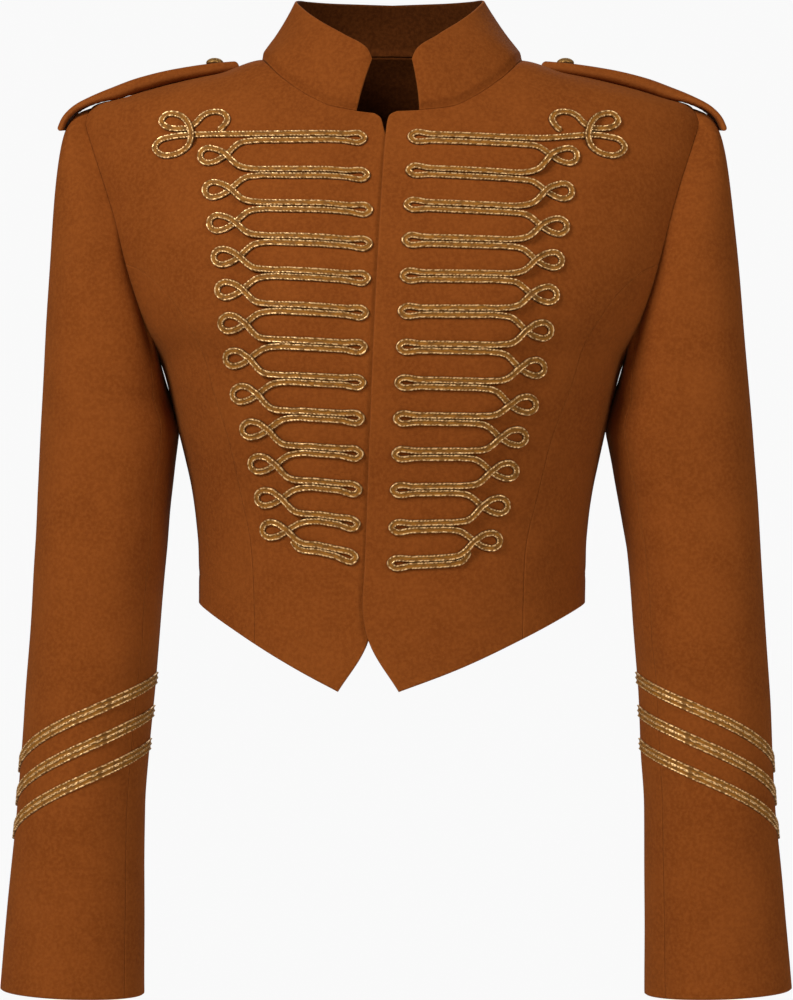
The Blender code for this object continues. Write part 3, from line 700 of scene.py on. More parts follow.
def spaced(line, shares, corner=None):
    """Points at the given shares of a line's length on the torso, one of them at its corner."""
    length = lengths(torso(line[:, 0], line[:, 1])[0])
    length = length / length[-1]
    points = sampled(shares, length, line)
    if corner is not None:
        points[np.argmin(np.abs(shares - length[corner]))] = line[corner]
    return points


def patch(left, right, top, bottom, across, down, fade=1):
    """Rules straight lines from left to right, then adds how far the top and bottom lines bow.

    The bow of the top line fades downwards, faster for a higher fade, so columns never fold over.
    """
    u = across[:, None]
    v = down[:, None, None]
    sides = left[:, None] * (1 - u) + right[:, None] * u
    top_bow = top - (top[0] * (1 - u) + top[-1] * u)
    bottom_bow = bottom - (bottom[0] * (1 - u) + bottom[-1] * u)
    return sides + top_bow * (1 - v) ** fade + bottom_bow * v


print("seam lines of", SEAM_POINTS, "steps")

# %% [markdown]
# Every cloth piece is a closed shell: an outer and an inner layer that curve towards each other
# at the border and share it, as a turned edge does. They lie 2.2 mm apart in all but the straps.
# Where two pieces are sewn together their rounded borders meet in a narrow groove, which is what a
# seam looks like.

# %% Cloth shells
# The inner layer takes the dark inside finish, which is painted shade.
LAYERS = (WOOL, INSIDE_PAINTED_SHADE)
BORDERS = {
    "top": (np.s_[0], np.s_[3]),
    "left": (np.s_[:, 0], np.s_[:, 3]),
    "right": (np.s_[:, -1], np.s_[:, -4]),
}


def to_border(grid):
    """Distance from each point of a grid to its nearest border, along rows and columns."""
    gaps = []
    for axis in (0, 1):
        step = np.linalg.norm(np.diff(grid, axis=axis), axis=-1)
        start = np.zeros_like(np.take(step, [0], axis=axis))
        length = np.concatenate([start, np.cumsum(step, axis=axis)], axis=axis)
        gaps += [length, np.take(length, [-1], axis=axis) - length]
    return np.minimum.reduce(gaps)


def outward_step(line, beside):
    """Small step from a border away from the line beside it, square to the border."""
    edge = unit(np.gradient(line, axis=0))
    step = beside - line
    step = step - edge * np.sum(step * edge, axis=1, keepdims=True)
    return -unit(step) * SEAM_TUCK


def sewn(grid, edges):
    """Moves the named borders of a grid out until they touch the piece sewn to them."""
    moved = grid.copy()
    for name in edges:
        border, beside = BORDERS[name]
        moved[border] += outward_step(grid[border], grid[beside])
    return moved


def add_piece(name, points, quads, finishes, uv=None, edge=None):
    """Mesh from whole arrays: each finish covers an equal run of faces, UV and edge are by point."""
    mesh = bpy.data.meshes.new(name)
    mesh.from_pydata((points * MM).tolist(), [], quads.tolist())
    mesh.shade_smooth()
    if uv is not None:
        layer = mesh.uv_layers.new(name="cloth")
        layer.data.foreach_set("uv", uv[quads.ravel()].astype(np.float32).ravel())
    if edge is not None:
        mesh.attributes.new("edge", "FLOAT", "POINT").data.foreach_set("value", edge.astype(np.float32))
    for finish in finishes:
        mesh.materials.append(finish)
    run = np.repeat(np.arange(len(finishes)), -(-len(quads) // len(finishes)))[:len(quads)]
    mesh.polygons.foreach_set("material_index", run.astype(np.int32))
    piece = bpy.data.objects.new(name, mesh)
    bpy.context.scene.collection.objects.link(piece)
    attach(piece, "root")
    return piece


def grid_quads(index):
    corners = (index[:-1, :-1], index[1:, :-1], index[1:, 1:], index[:-1, 1:])
    return np.stack([c.ravel() for c in corners], axis=1)


def two_layers(name, outer, inner, finishes, side="right"):
    """Closed piece from an outer and an inner grid that share their border, outer faces first."""
    gap = to_border(outer)
    if side == "left":
        outer, inner = outer * MIRROR, inner * MIRROR
    rows, columns = gap.shape
    front = np.arange(rows * columns).reshape(rows, columns)
    back = front.copy()
    back[1:-1, 1:-1] = rows * columns + np.arange((rows - 2) * (columns - 2)).reshape(rows - 2, columns - 2)
    down = outer[1:, :-1] - outer[:-1, :-1]
    across = outer[:-1, 1:] - outer[:-1, :-1]
    facing = np.sum(np.cross(down, across) * (outer - inner)[:-1, :-1])
    quads = np.r_[grid_quads(front), grid_quads(back)[:, ::-1]]
    if facing < 0:
        quads = quads[:, ::-1]
    points = np.r_[outer.reshape(-1, 3), inner[1:-1, 1:-1].reshape(-1, 3)]
    edge = np.r_[gap.ravel(), gap[1:-1, 1:-1].ravel()]
    return add_piece(name, points, quads, finishes, edge=edge)


def shell(name, grid, normal, finishes, thick=CLOTH, side="right"):
    """Closed two-layer cloth: both layers curve in by a quarter circle and share the border."""
    gap = to_border(grid)
    round_off = thick / 2
    inward = np.clip(1 - gap / round_off, 0, 1)
    drop = round_off * (1 - np.sqrt(1 - inward ** 2))
    outer = grid - normal * drop[..., None]
    inner = grid - normal * (thick - drop)[..., None]
    return two_layers(name, outer, inner, finishes, side)


print("cloth is", CLOTH, "mm thick")

# %% [markdown]
# The five body panels. A front runs from its closing edge to the armhole and the long curved
# seam, a side front fills in from that seam to the side, and the back is one piece.

# %% Body panels
FRONT_COLUMNS = 104
FRONT_ROWS = 132
SIDE_COLUMNS = 52
SIDE_ROWS = 96
BACK_HALF_COLUMNS = 76
BACK_ROWS = 118
TOP_FADE = 4


def hem_line(side, first, last, shares):
    x = first + (last - first) * shares
    return drawn(x, hem_z(side, x))


def front(side):
    across, down = crowded(FRONT_COLUMNS), crowded(FRONT_ROWS)
    edge = EDGES[side]
    left = drawn(*along(list(zip(edge["x"], edge["z"])), down).T)
    neck = neck_front_line(side)
    top = spaced(np.r_[left[:1], neck, shoulder_line()[1:]], across, len(neck))
    seam = np.r_[armhole_line("front", 0, ARM_UPPER / ARM_STEPS), princess_line(side)[1:]]
    right = spaced(seam, down, SEAM_POINTS)
    bottom = hem_line(side, edge["x"][-1], PRINCESS_HEM_X[side], across)
    grid = patch(left, right, top, bottom, across, down, TOP_FADE)
    outer, normal = front_form(side, grid[..., 0], grid[..., 1])
    return shell("wool_front_" + side, sewn(outer, ("top", "right")), normal, LAYERS, side=side)


def side_front(side):
    across, down = crowded(SIDE_COLUMNS), crowded(SIDE_ROWS)
    left = spaced(princess_line(side), down)
    right = spaced(side_line(), down)
    top = spaced(armhole_line("front", ARM_UPPER / ARM_STEPS, 1), across)
    bottom = hem_line(side, PRINCESS_HEM_X[side], HEM_SIDE_X, across)
    bottom[-1, 0] = math.pi / 2
    grid = patch(left, right, top, bottom, across, down)
    outer, normal = front_form(side, grid[..., 0], grid[..., 1])
    outer = sewn(outer, ("top", "left", "right"))
    return shell("wool_side_front_" + side, outer, normal, LAYERS, side=side)


def back():
    across, down = 2 * crowded(2 * BACK_HALF_COLUMNS)[:BACK_HALF_COLUMNS + 1], crowded(BACK_ROWS)
    left = spaced(np.r_[armhole_line("back"), side_line()[1:]], down, SEAM_POINTS)
    top = spaced(np.r_[shoulder_line()[::-1], neck_back_line()[1:]], across, SEAM_POINTS)
    bottom = np.stack([math.pi / 2 * (1 + across), np.full_like(across, HEM_SIDE_Z)], axis=1)
    right = np.stack([np.full_like(down, math.pi), top[-1, 1] + (HEM_SIDE_Z - top[-1, 1]) * down], axis=1)
    half = patch(left, right, top, bottom, across, down, TOP_FADE)
    other = half[:, -2::-1] * (-1, 1) + (2 * math.pi, 0)
    grid = np.concatenate([half, other], axis=1)
    outer, normal = back_form(grid[..., 0], grid[..., 1])
    return shell("wool_back", sewn(outer, ("top", "left", "right")), normal, LAYERS)


cloth = {}
for hand in SIDES:
    cloth["front_" + hand] = front(hand)
    cloth["side_front_" + hand] = side_front(hand)
cloth["back"] = back()
print("body panels", {name: len(piece.data.polygons) for name, piece in cloth.items()})

# %% [markdown]
# The stand collar is a band from the neck seam to a top edge that leans inwards. Its front ends
# stop short of the closing, and their top corners are rounded, which the table of the top edge
# holds. The band bows out a little between its two edges.

# %% Collar
COLLAR_TOP = {
    "share": [0, 0.05, 0.18, 0.34, 0.5, 0.64, 0.78, 0.9, 1],
    "x":     [14, 17.5, 32, 48.5, 61, 67, 62, 38, 0],
    "y":     [-67, -66, -57.5, -43.5, -25, -3, 22, 42, 49],
    "z":     [-7, 1, 10.4, 21, 32.3, 41, 44.9, 45.7, 45.5],
}
COLLAR_NARROW = {"right": 0.93, "left": 0.985}
COLLAR_NARROW_FROM = 0.3
COLLAR_BOW = 2.0
COLLAR_EASE = 0.4
COLLAR_STAND = 0.15
COLLAR_SHIFT = 0.9
COLLAR_HALF_COLUMNS = 90
COLLAR_ROWS = 40


def collar_half(side, shares, rise):
    """Ruled surface from the neck seam to the top edge, plus a sine bow, and the seam's normals."""
    base, lean = seam_form(side, np.r_[neck_front_line(side), neck_back_line()[1:]])
    length = lengths(base)
    base, lean = (sampled(shares * length[-1], length, line) for line in (base, lean))
    rim = np.stack([curve_at(COLLAR_TOP["share"], COLLAR_TOP[c], shares) for c in "xyz"], axis=1)
    rim[:, 0] *= 1 - (1 - COLLAR_NARROW[side]) * smooth_step(0, COLLAR_NARROW_FROM, shares)
    band = base + (rim - base) * rise
    band = band + unit(band * (1, 1, 0)) * (COLLAR_BOW * np.sin(math.pi * rise))
    band[:, -1, 0] = 0
    return band, lean


def collar():
    shares = 2 * crowded(2 * COLLAR_HALF_COLUMNS)[:COLLAR_HALF_COLUMNS + 1]
    rise = crowded(COLLAR_ROWS)[:, None, None]
    left, left_lean = collar_half("left", shares, rise)
    right, right_lean = collar_half("right", shares, rise)
    grid = np.concatenate([left * MIRROR, right[:, -2::-1]], axis=1)
    lean = np.concatenate([left_lean * MIRROR, right_lean[-2::-1]])
    normal = unit(np.cross(np.gradient(grid, axis=0), np.gradient(grid, axis=1)))
    stand = CLOTH * smooth_step(0, COLLAR_STAND, rise)
    relief = swell(grid[..., 0] + grid[..., 1], grid[..., 2], COLLAR_SHIFT)[..., None]
    grid = grid + normal * (stand + smooth_step(0, COLLAR_EASE, rise) * relief)
    grid[0] = seated(grid[0], normal[0], lean) - (0, 0, SEAM_TUCK)
    return shell("wool_collar", grid, normal, LAYERS)


cloth["collar"] = collar()
print("collar faces", len(cloth["collar"].data.polygons))

# %% [markdown]
# A sleeve is a tube whose columns start on the armhole, roll over the sleeve head and then follow
# rings down to the cuff. It is cut in two pieces, an upper and an under sleeve. A column number
# runs round the tube: 0 at the underarm, 12 at the shoulder tip and 23 back at the underarm.

# %% Sleeve surface
SLEEVE_RINGS = {
    "z":      [-647, -600, -560, -520, -480, -440, -400, -360, -320, -285, -258, -237],
    "inner":  [173, 173, 173, 172.5, 169.5, 166.5, 163.5, 160.5, 156.5, 152.6, 150.6, 156.2],
    "outer":  [273.5, 269.5, 266, 262, 259, 256.5, 253.5, 251, 248.5, 246.8, 245.3, 244],
    "centre": [-27, -26, -25, -24, -22, -20, -17, -13, -8, -4.5, -3, -2],
    "depth":  [88, 86, 86, 88, 93, 99, 105, 111, 117, 122, 125.5, 128],
}
SLEEVE_SWAY = {
    "z":     [-647, -560, -485, -440, -341, -300, -258, -237],
    "right": [3.2, 3.0, 4.5, 5.6, 6.2, 6.0, 5.6, 5.2],
    "left":  [-2.4, -2.1, -2.1, -2.1, -2.0, -1.0, -0.5, -0.3],
}
SWAY_INNER = {"z": [-485, -440, -341, -258], "share": [0.6, 0.75, 0.85, 0]}
SLEEVE_POWER = {"z": [-480, -380, -258], "power": [2, 2.2, 2.7]}
UNDER_FULL = 2.4
UNDER_FULL_Z = -240
UNDER_FULL_LONG = 24
CAP_OUT = 0.67
CAP_DROP_TOP = 0.04
CAP_DROP_SIDE = 0.3
CAP_DROP_UNDER = 0.75
CAP_UNDER_POWER = 6
CAP_EASE = 0.6
CUFF_Z = SLEEVE_RINGS["z"][0]
HEAD_Z = SLEEVE_RINGS["z"][-1]
CUFF_TILT = 4.0
CUFF_TILT_LONG = 60
COLUMN_TURNS = {"column": [0, 3, 12, 23], "turn": [0, 40, 180, 360]}
FRONT_SEAM = 3
TIP_COLUMN = 12
BACK_SEAM = 18
WHOLE_TURN = 23
TURN_TO_MM = 0.86
FOLD_SHIFT = 4
SWELL_RADIUS = 60
SLEEVE_SHIFT = {"right": 0.2, "left": 1.1}
SLEEVE_FOLDS = {
    "turn0": [12, 30, 60, 20, 100, 70, 150, 300, 250, 290],
    "z0":    [-250, -300, -330, -395, -430, -520, -300, -280, -400, -470],
    "turn1": [70, 80, 120, 75, 50, 120, 120, 250, 300, 240],
    "z1":    [-236, -318, -372, -420, -462, -536, -420, -330, -424, -490],
    "wide":  [13, 12, 15, 11, 12, 15, 20, 16, 13, 14],
    "high":  [-1.6, -1.1, 1.0, 1.1, -1.0, 0.7, 1.0, 1.2, -1.5, 1.2],
}


def sleeve_ring(turns, z):
    """Rounded ring between the inner and outer edge; its front and back are flatter near the head."""
    inner, outer, centre, depth = (
        curve_at(SLEEVE_RINGS["z"], SLEEVE_RINGS[c], z) for c in ("inner", "outer", "centre", "depth"))
    cosine, sine = np.cos(np.radians(turns)), np.sin(np.radians(turns))
    power = 2 / np.interp(z, SLEEVE_POWER["z"], SLEEVE_POWER["power"])
    x = (inner + outer) / 2 - (outer - inner) / 2 * np.sign(cosine) * np.abs(cosine) ** power
    x = x - UNDER_FULL * np.clip(cosine, 0, 1) ** 2 * np.exp(-((z - UNDER_FULL_Z) / UNDER_FULL_LONG) ** 2)
    y = centre - depth / 2 * np.sign(sine) * np.abs(sine) ** power
    return np.stack([x, y, np.broadcast_to(z, x.shape)], axis=-1)


def topness_of(turns):
    """0 at the underarm and 1 at the top of the arm."""
    return (1 - np.cos(np.radians(turns))) / 2


def sway(side, turns, z):
    """Step by which the arm hangs further from the body, or nearer to it; less at the underarm."""
    whole = curve_at(SLEEVE_SWAY["z"], SLEEVE_SWAY[side], z)
    inner = np.interp(z, SWAY_INNER["z"], SWAY_INNER["share"])
    step = whole * (inner + (1 - inner) * topness_of(turns))
    return np.stack([step, 0 * step, 0 * step], axis=-1)


def armhole_start(side, columns):
    """Point and normal of the armhole where each column starts."""
    columns = np.mod(columns, WHOLE_TURN)
    front_share = 1 - columns / TIP_COLUMN
    back_share = (columns - TIP_COLUMN) / (WHOLE_TURN - TIP_COLUMN)
    share = np.where(columns <= TIP_COLUMN, front_share, back_share)
    z = armhole_z(share)
    turn = np.where(columns <= TIP_COLUMN, armhole_turn("front", z), armhole_turn("back", z))
    return seam_form(side, np.stack([turn, z], axis=1))


def turns_of(columns):
    whole = np.floor_divide(columns, WHOLE_TURN)
    within = np.mod(columns, WHOLE_TURN)
    return np.interp(within, COLUMN_TURNS["column"], COLUMN_TURNS["turn"]) + 360 * whole


def sleeve_relief(turns, z, shift):
    """Folds and swell of the sleeve, on its surface unrolled to millimetres."""
    around = np.mod(turns, 360)
    table = {key: np.array(values, float) for key, values in SLEEVE_FOLDS.items()}
    table["turn0"] *= TURN_TO_MM
    table["turn1"] *= TURN_TO_MM
    height = fold_height(table, around * TURN_TO_MM + FOLD_SHIFT * math.sin(shift), z)
    return height + swell(SWELL_RADIUS * np.cos(np.radians(around)), z, shift)


def sleeve_grid(side, columns, cap, rings):
    """Cubic cap from the armhole, with both middle points in one place, then rings to the cuff."""
    turns = turns_of(columns)
    start, lean = armhole_start(side, columns)
    first = sleeve_ring(turns, HEAD_Z)
    topness = topness_of(turns)
    drop = CAP_DROP_SIDE + (CAP_DROP_TOP - CAP_DROP_SIDE) * topness ** 2
    drop = drop + (CAP_DROP_UNDER - CAP_DROP_SIDE) * (1 - topness) ** CAP_UNDER_POWER
    corner = start + (first - start) * np.stack([np.full_like(drop, CAP_OUT)] * 2 + [drop], axis=1)
    t = cap[:, None, None]
    end = first + sway(side, turns, HEAD_Z)
    head = start * (1 - t) ** 3 + corner * 3 * t * (1 - t) + end * t ** 3
    arm = sleeve_ring(turns[None], rings[:, None]) + sway(side, turns[None], rings[:, None])
    near_cuff = 1 - smooth_step(CUFF_Z, CUFF_Z + CUFF_TILT_LONG, rings)
    arm[..., 2] += CUFF_TILT * (topness - 0.5) * near_cuff[:, None]
    grid = np.concatenate([head, arm[1:]])
    normal = unit(np.cross(np.gradient(grid, axis=0), np.gradient(grid, axis=1)))
    easing = np.r_[smooth_step(0, CAP_EASE, cap), np.ones(len(rings) - 1)][:, None]
    relief = sleeve_relief(np.broadcast_to(turns, grid.shape[:2]), grid[..., 2], SLEEVE_SHIFT[side])
    grid = grid + normal * (easing * relief)[..., None]
    grid[0] = seated(grid[0], normal[0], lean)
    return grid, normal


print("sleeve", HEAD_Z - CUFF_Z, "mm below the head")

# %% Sleeves
CAP_ROWS = 44
RING_ROWS = 110
UPPER_COLUMNS = 100
UNDER_COLUMNS = 56
CAP_START = 1.5
CUFF_CROWD = 1.35


def sleeve(side, name, first, last, count):
    columns = first + (last - first) * crowded(count)
    cap = np.linspace(0, 1, CAP_ROWS + 1) ** CAP_START
    fall = 1 - (1 - np.linspace(0, 1, RING_ROWS + 1)) ** CUFF_CROWD
    rings = HEAD_Z + (CUFF_Z - HEAD_Z) * fall
    grid, normal = sleeve_grid(side, columns, cap, rings)
    grid = sewn(grid, ("left", "right"))
    grid[0] -= unit(grid[1] - grid[0]) * SEAM_TUCK
    return shell(f"wool_sleeve_{name}_{side}", grid, normal, LAYERS, side=side)


for hand in SIDES:
    cloth["sleeve_upper_" + hand] = sleeve(hand, "upper", FRONT_SEAM, BACK_SEAM, UPPER_COLUMNS)
    cloth["sleeve_under_" + hand] = sleeve(hand, "under", BACK_SEAM, WHOLE_TURN + FRONT_SEAM, UNDER_COLUMNS)
print("sleeve faces", {k: len(p.data.polygons) for k, p in cloth.items() if k.startswith("sleeve")})

# %% [markdown]
# The shoulder straps are padded and stitched round the edge. Each lies on the shoulder seam, narrow
# end at the neck, and arches clear of the sleeve head at its wide end, where it is thinnest.

# %% Shoulder straps
STRAP = {
    "x": [107, 125, 150, 176, 195, 208, 218.5, 225.6, 229],
    "z": [-4.8, -6.5, -10.3, -16.0, -22.8, -28.3, -34.2, -41.6, -49.5],
}
STRAP_BEND = {"x": [104, 165, 184, 206, 222, 231], "down": [1.2, 1.2, 1.0, 0.6, 0.2, 0]}
STRAP_TOP = 4.2
STRAP_THICK = {
    "x":     [107, 125, 150, 170, 190, 206, 222, 231],
    "thick": [5.8, 6.8, 7.8, 8.6, 8.2, 5.6, 4.3, 4],
}
STRAP_LIP = {"x": [107, 150, 190, 212], "thick": [1.2, 1.2, 0.6, 0]}
STRAP_WIDE = 39
STRAP_NARROW = 34
STRAP_POINT = {"share": [0, 1 / 12, 2 / 12, 1], "part": [0.72, 0.94, 1, 1]}
STRAP_SHIFT = -3.5
STRAP_ARCH = 18
STRAP_NEAR = {"right": 3, "left": 0}
STRAP_TILT = 0.11
STRAP_TILT_FROM = 150
STRAP_TILT_FULL = 200
STRAP_COLUMNS = 56
STRAP_ROWS = 96
STITCH_IN = 4.2
STITCH_DEEP = 0.45
STITCH_WIDE = 0.8
STITCH_PITCH = 3.0
STITCH_BEAT = 0.4
STRAP_FINE = 200


def strap_line(shares):
    return along(list(zip(STRAP["x"], STRAP["z"])), shares)


def strap(side):
    """Padded band along its route, lower at its sides, with a groove of stitches near its border."""
    shares, across = crowded(STRAP_ROWS), 2 * crowded(STRAP_COLUMNS) - 1
    line = strap_line(shares)
    line[:, 0] -= STRAP_NEAR[side] * (1 - shares) ** 2
    ahead = unit(np.gradient(line, axis=0))
    half = (STRAP_NARROW + (STRAP_WIDE - STRAP_NARROW) * shares) / 2
    half = half * table_at(STRAP_POINT, shares)
    under = np.zeros((len(line), len(across), 3))
    under[..., 0] = line[:, :1]
    under[..., 1] = STRAP_SHIFT + half[:, None] * across
    tilt = STRAP_TILT * smooth_step(STRAP_TILT_FROM, STRAP_TILT_FULL, line[:, :1])
    bend = table_at(STRAP_BEND, line[:, :1])
    arch = under[..., 1] / STRAP_ARCH
    under[..., 2] = line[:, 1:] + tilt * half[:, None] * across - bend * arch ** 2
    normal = np.zeros_like(under)
    normal[..., 0] = -ahead[:, 1:]
    normal[..., 1] = 2 * bend * arch / STRAP_ARCH
    normal[..., 2] = ahead[:, :1]
    normal = unit(normal)
    grid = under + normal * STRAP_TOP
    gap = to_border(grid)
    stitch = np.cos(2 * math.pi * (under[..., 0] + under[..., 1]) / STITCH_PITCH)
    beat = 1 - STITCH_BEAT + STITCH_BEAT * stitch
    groove = STITCH_DEEP * beat * np.exp(-((gap - STITCH_IN) / STITCH_WIDE) ** 2)
    grid = grid - normal * groove[..., None]
    thick = table_at(STRAP_THICK, line[:, :1])
    thick = thick + np.interp(line[:, :1], STRAP_LIP["x"], STRAP_LIP["thick"]) * np.clip(arch ** 2, 0, 1)
    return shell("wool_epaulette_" + side, grid, normal, (WOOL,), thick=thick, side=side)


for hand in SIDES:
    cloth["epaulette_" + hand] = strap(hand)
print("strap", round(lengths(strap_line(np.linspace(0, 1, STRAP_FINE)))[-1]), "mm long")

# %% [markdown]
# The braid is flat: a gold wire runs along each edge of a duller amber middle. Painted glints break
# the wires into uneven bright dashes, the sparkle of old gold, and painted shadow darkens both borders
# of the cord. The UV runs across the cord (u) and along it (v, in centimetres), so the dashes follow every
# curve.

# %% Gold braid finish
# Painted shadow: the dark brown at both borders of the cord, where it meets the cloth.
GOLD_RIM_PAINTED_SHADOW = (0.050, 0.018, 0.0035, 1)
GOLD_WIRE = (0.210, 0.088, 0.0160, 1)
# Painted glint: the bright gold of the dashes along the wires.
GOLD_PAINTED_GLINT = (1.000, 0.640, 0.2900, 1)
GOLD_CORE = (0.310, 0.118, 0.0100, 1)
GOLD_SHADE = (0.165, 0.062, 0.0065, 1)
DASH_LONG = 0.34
PATCH_LONG = 0.55
PLY_PITCH = 0.24
PLY_SLANT = 0.5
WIRE_FROM = 0.40
WIRE_FULL = 0.58
SHADOW_RIM_FROM = 0.88
SHADOW_RIM_FULL = 0.99
SPOT_SPREAD = 1.4
SPOT_NOISE = {"Scale": 1.0, "Detail": 2.0}
DASH_SHIFT = 0.0
PATCH_SHIFT = 7.0
PLY_SHARE = 0.12
LIT_RANGE = (0.47, 0.68)
WORN_RANGE = (0.34, 0.62)
GOLD_ROUGHNESS = (0.70, 0.36)
GOLD_METAL = (0.0, 0.60)
GOLD_SPECULAR = 0.2
GOLD_FIBRE_SCALE = 2600.0
GOLD_NAP_SHARE = 0.25
GOLD_BUMP = {"Strength": 0.5, "Distance": 0.0004}


def spots(tree, across, along_cord, long, shift):
    """Noise that is stretched along the cord, each edge with its own."""
    place = add_node(tree, "ShaderNodeCombineXYZ")
    tree.links.new(math_node(tree, "MULTIPLY_ADD", across, SPOT_SPREAD, shift), place.inputs["X"])
    tree.links.new(math_node(tree, "MULTIPLY", along_cord, 1 / long), place.inputs["Y"])
    node = add_node(tree, "ShaderNodeTexNoise")
    tree.links.new(place.outputs[0], node.inputs["Vector"])
    set_inputs(node, SPOT_NOISE)
    return node.outputs["Fac"]


def plies(tree, across, along_cord):
    """Slanted wave from 0 to 1: sine of length over pitch plus slant times the place across."""
    slant = math_node(tree, "MULTIPLY", across, PLY_SLANT)
    turns = math_node(tree, "MULTIPLY_ADD", along_cord, 1 / PLY_PITCH, slant)
    wave = math_node(tree, "SINE", math_node(tree, "MULTIPLY", turns, 2 * math.pi))
    return math_node(tree, "MULTIPLY_ADD", wave, 0.5, 0.5)


def gold_braid_finish():
    """Painted glints light the wires in dashes, darker patches vary the middle, and a painted shadow
    darkens both borders of the cord.
    """
    material, tree, shader = new_finish("gold braid")
    uv = add_node(tree, "ShaderNodeSeparateXYZ")
    tree.links.new(add_node(tree, "ShaderNodeUVMap", uv_map="cloth").outputs[0], uv.inputs[0])
    across = math_node(tree, "MULTIPLY_ADD", uv.outputs["X"], 2, -1)
    off = math_node(tree, "ABSOLUTE", across)
    along_cord = uv.outputs["Y"]
    nap = add_nap(tree, Fibre_Scale=GOLD_FIBRE_SCALE)
    dash = spots(tree, across, along_cord, DASH_LONG, DASH_SHIFT)
    dash = math_node(tree, "MULTIPLY_ADD", plies(tree, across, along_cord), PLY_SHARE, dash)
    worn = spots(tree, across, along_cord, PATCH_LONG, PATCH_SHIFT)
    # The lit dashes are painted glints on the wires; metal and gloss rise there too.
    lit = ramp_between(tree, dash, *LIT_RANGE)
    wire = mix_colours(tree, lit, GOLD_WIRE, GOLD_PAINTED_GLINT)
    middle = mix_colours(tree, ramp_between(tree, worn, *WORN_RANGE), GOLD_SHADE, GOLD_CORE)
    at_wire = ramp_between(tree, off, WIRE_FROM, WIRE_FULL)
    colour = mix_colours(tree, at_wire, middle, wire)
    # Painted contact shadow along both borders of the cord.
    colour = mix_colours(tree, ramp_between(tree, off, SHADOW_RIM_FROM, SHADOW_RIM_FULL), colour, GOLD_RIM_PAINTED_SHADOW)
    tree.links.new(colour, shader.inputs["Base Color"])
    bright = math_node(tree, "MULTIPLY", lit, at_wire)
    tree.links.new(ramp_between(tree, bright, 0, 1, *GOLD_ROUGHNESS), shader.inputs["Roughness"])
    tree.links.new(ramp_between(tree, bright, 0, 1, *GOLD_METAL), shader.inputs["Metallic"])
    set_inputs(shader, {"Specular IOR Level": GOLD_SPECULAR})
    both = math_node(tree, "MULTIPLY_ADD", nap.outputs["Height"], GOLD_NAP_SHARE, dash)
    add_bump(tree, shader, both, GOLD_BUMP)
    return material


GOLD = gold_braid_finish()
print("made", GOLD.name)

# %% [markdown]
# A braid mesh is a profile carried along a route. The profile has a round wire at each edge and a
# lower middle, and the wires swell and shrink a little along the cord.

# %% Braid mesh
BRAID_WIDE = 4.5
BRAID_HIGH = 2.1
BRAID_SINK = -0.15
BRAID_LIFT = 2.1
BRAID_STEP = 0.6
STRAND_AT = 0.70
STRAND_HALF = 0.30
STRAND_SWELL = 0.04
CORE_HIGH = 0.66
CORE_POWER = 4
TAPER = 2.0
TAPER_LEAST = 0.01
FLOW_STEPS = 40
FLOW_POWER = 0.5
MM_PER_CM = 10
PROFILE_TOP = np.array([-1, -0.9, -0.72, -0.5, -0.3, 0, 0.3, 0.5, 0.72, 0.9, 1])
PROFILE_UNDER = np.array([0.6, 0, -0.6])


def flowing(points, step):
    """Rounded line through points: cubic pieces whose slopes come from both neighbours."""
    points = np.asarray(points, float)
    knots = np.r_[0, np.cumsum(np.linalg.norm(np.diff(points, axis=0), axis=1) ** FLOW_POWER)]
    slope = np.gradient(points, knots, axis=0)
    fine = np.linspace(0, knots[-1], FLOW_STEPS * len(points))
    k = np.clip(np.searchsorted(knots, fine) - 1, 0, len(knots) - 2)
    span = (knots[k + 1] - knots[k])[:, None]
    t = ((fine - knots[k]) / span[:, 0])[:, None]
    line = (points[k] * (1 + 2 * t) + slope[k] * span * t) * (1 - t) ** 2
    line += (points[k + 1] * (3 - 2 * t) - slope[k + 1] * span * (1 - t)) * t ** 2
    length = lengths(line)
    even = np.linspace(0, length[-1], int(length[-1] / step) + 1)
    return sampled(even, length, line)


def cord_height(across, length):
    """Round strands either side of a lower core, each swelling with its own winding."""
    off = np.abs(across)
    strand = np.sqrt(np.clip(1 - ((off - STRAND_AT) / STRAND_HALF) ** 2, 0, 1))
    core = CORE_HIGH * np.clip(1 - (off / STRAND_AT) ** CORE_POWER, 0, 1)
    round_turns = length[:, None] / (MM_PER_CM * PLY_PITCH) + PLY_SLANT * across
    swollen = strand * (1 + STRAND_SWELL * np.sin(2 * math.pi * round_turns))
    return BRAID_HIGH * np.maximum(swollen, core)


def cord_mesh(points, normals):
    """Points, quads and UV of a cord along a route, with rounded ends that are closed."""
    length = lengths(points)
    ahead = unit(np.gradient(points, axis=0))
    sideways = unit(np.cross(ahead, normals))
    end = np.minimum(length, length[-1] - length)
    slim = np.sqrt(np.clip(1 - (1 - np.clip(end / TAPER, TAPER_LEAST, 1)) ** 2, 0, 1))[:, None]
    under = np.zeros((len(length), len(PROFILE_UNDER)))
    high = np.concatenate([cord_height(PROFILE_TOP, length), under], axis=1)
    across = np.r_[PROFILE_TOP, PROFILE_UNDER]
    place = points[:, None] + sideways[:, None] * (slim * across * BRAID_WIDE / 2)[..., None]
    place = place + normals[:, None] * (slim * high + BRAID_SINK)[..., None]
    count = len(across)
    index = np.arange(place.shape[0] * count).reshape(-1, count)
    wrapped = np.concatenate([index, index[:, :1]], axis=1)
    inner = np.arange(count // 2 - 1)
    cap = np.stack([inner, inner + 1, count - 2 - inner, count - 1 - inner], axis=1)
    quads = np.r_[grid_quads(wrapped), cap, (cap + index[-1, 0])[:, ::-1]]
    uv = np.stack(np.broadcast_arrays((across + 1) / 2, length[:, None] / MM_PER_CM), axis=-1)
    return place.reshape(-1, 3), quads, uv.reshape(-1, 2)


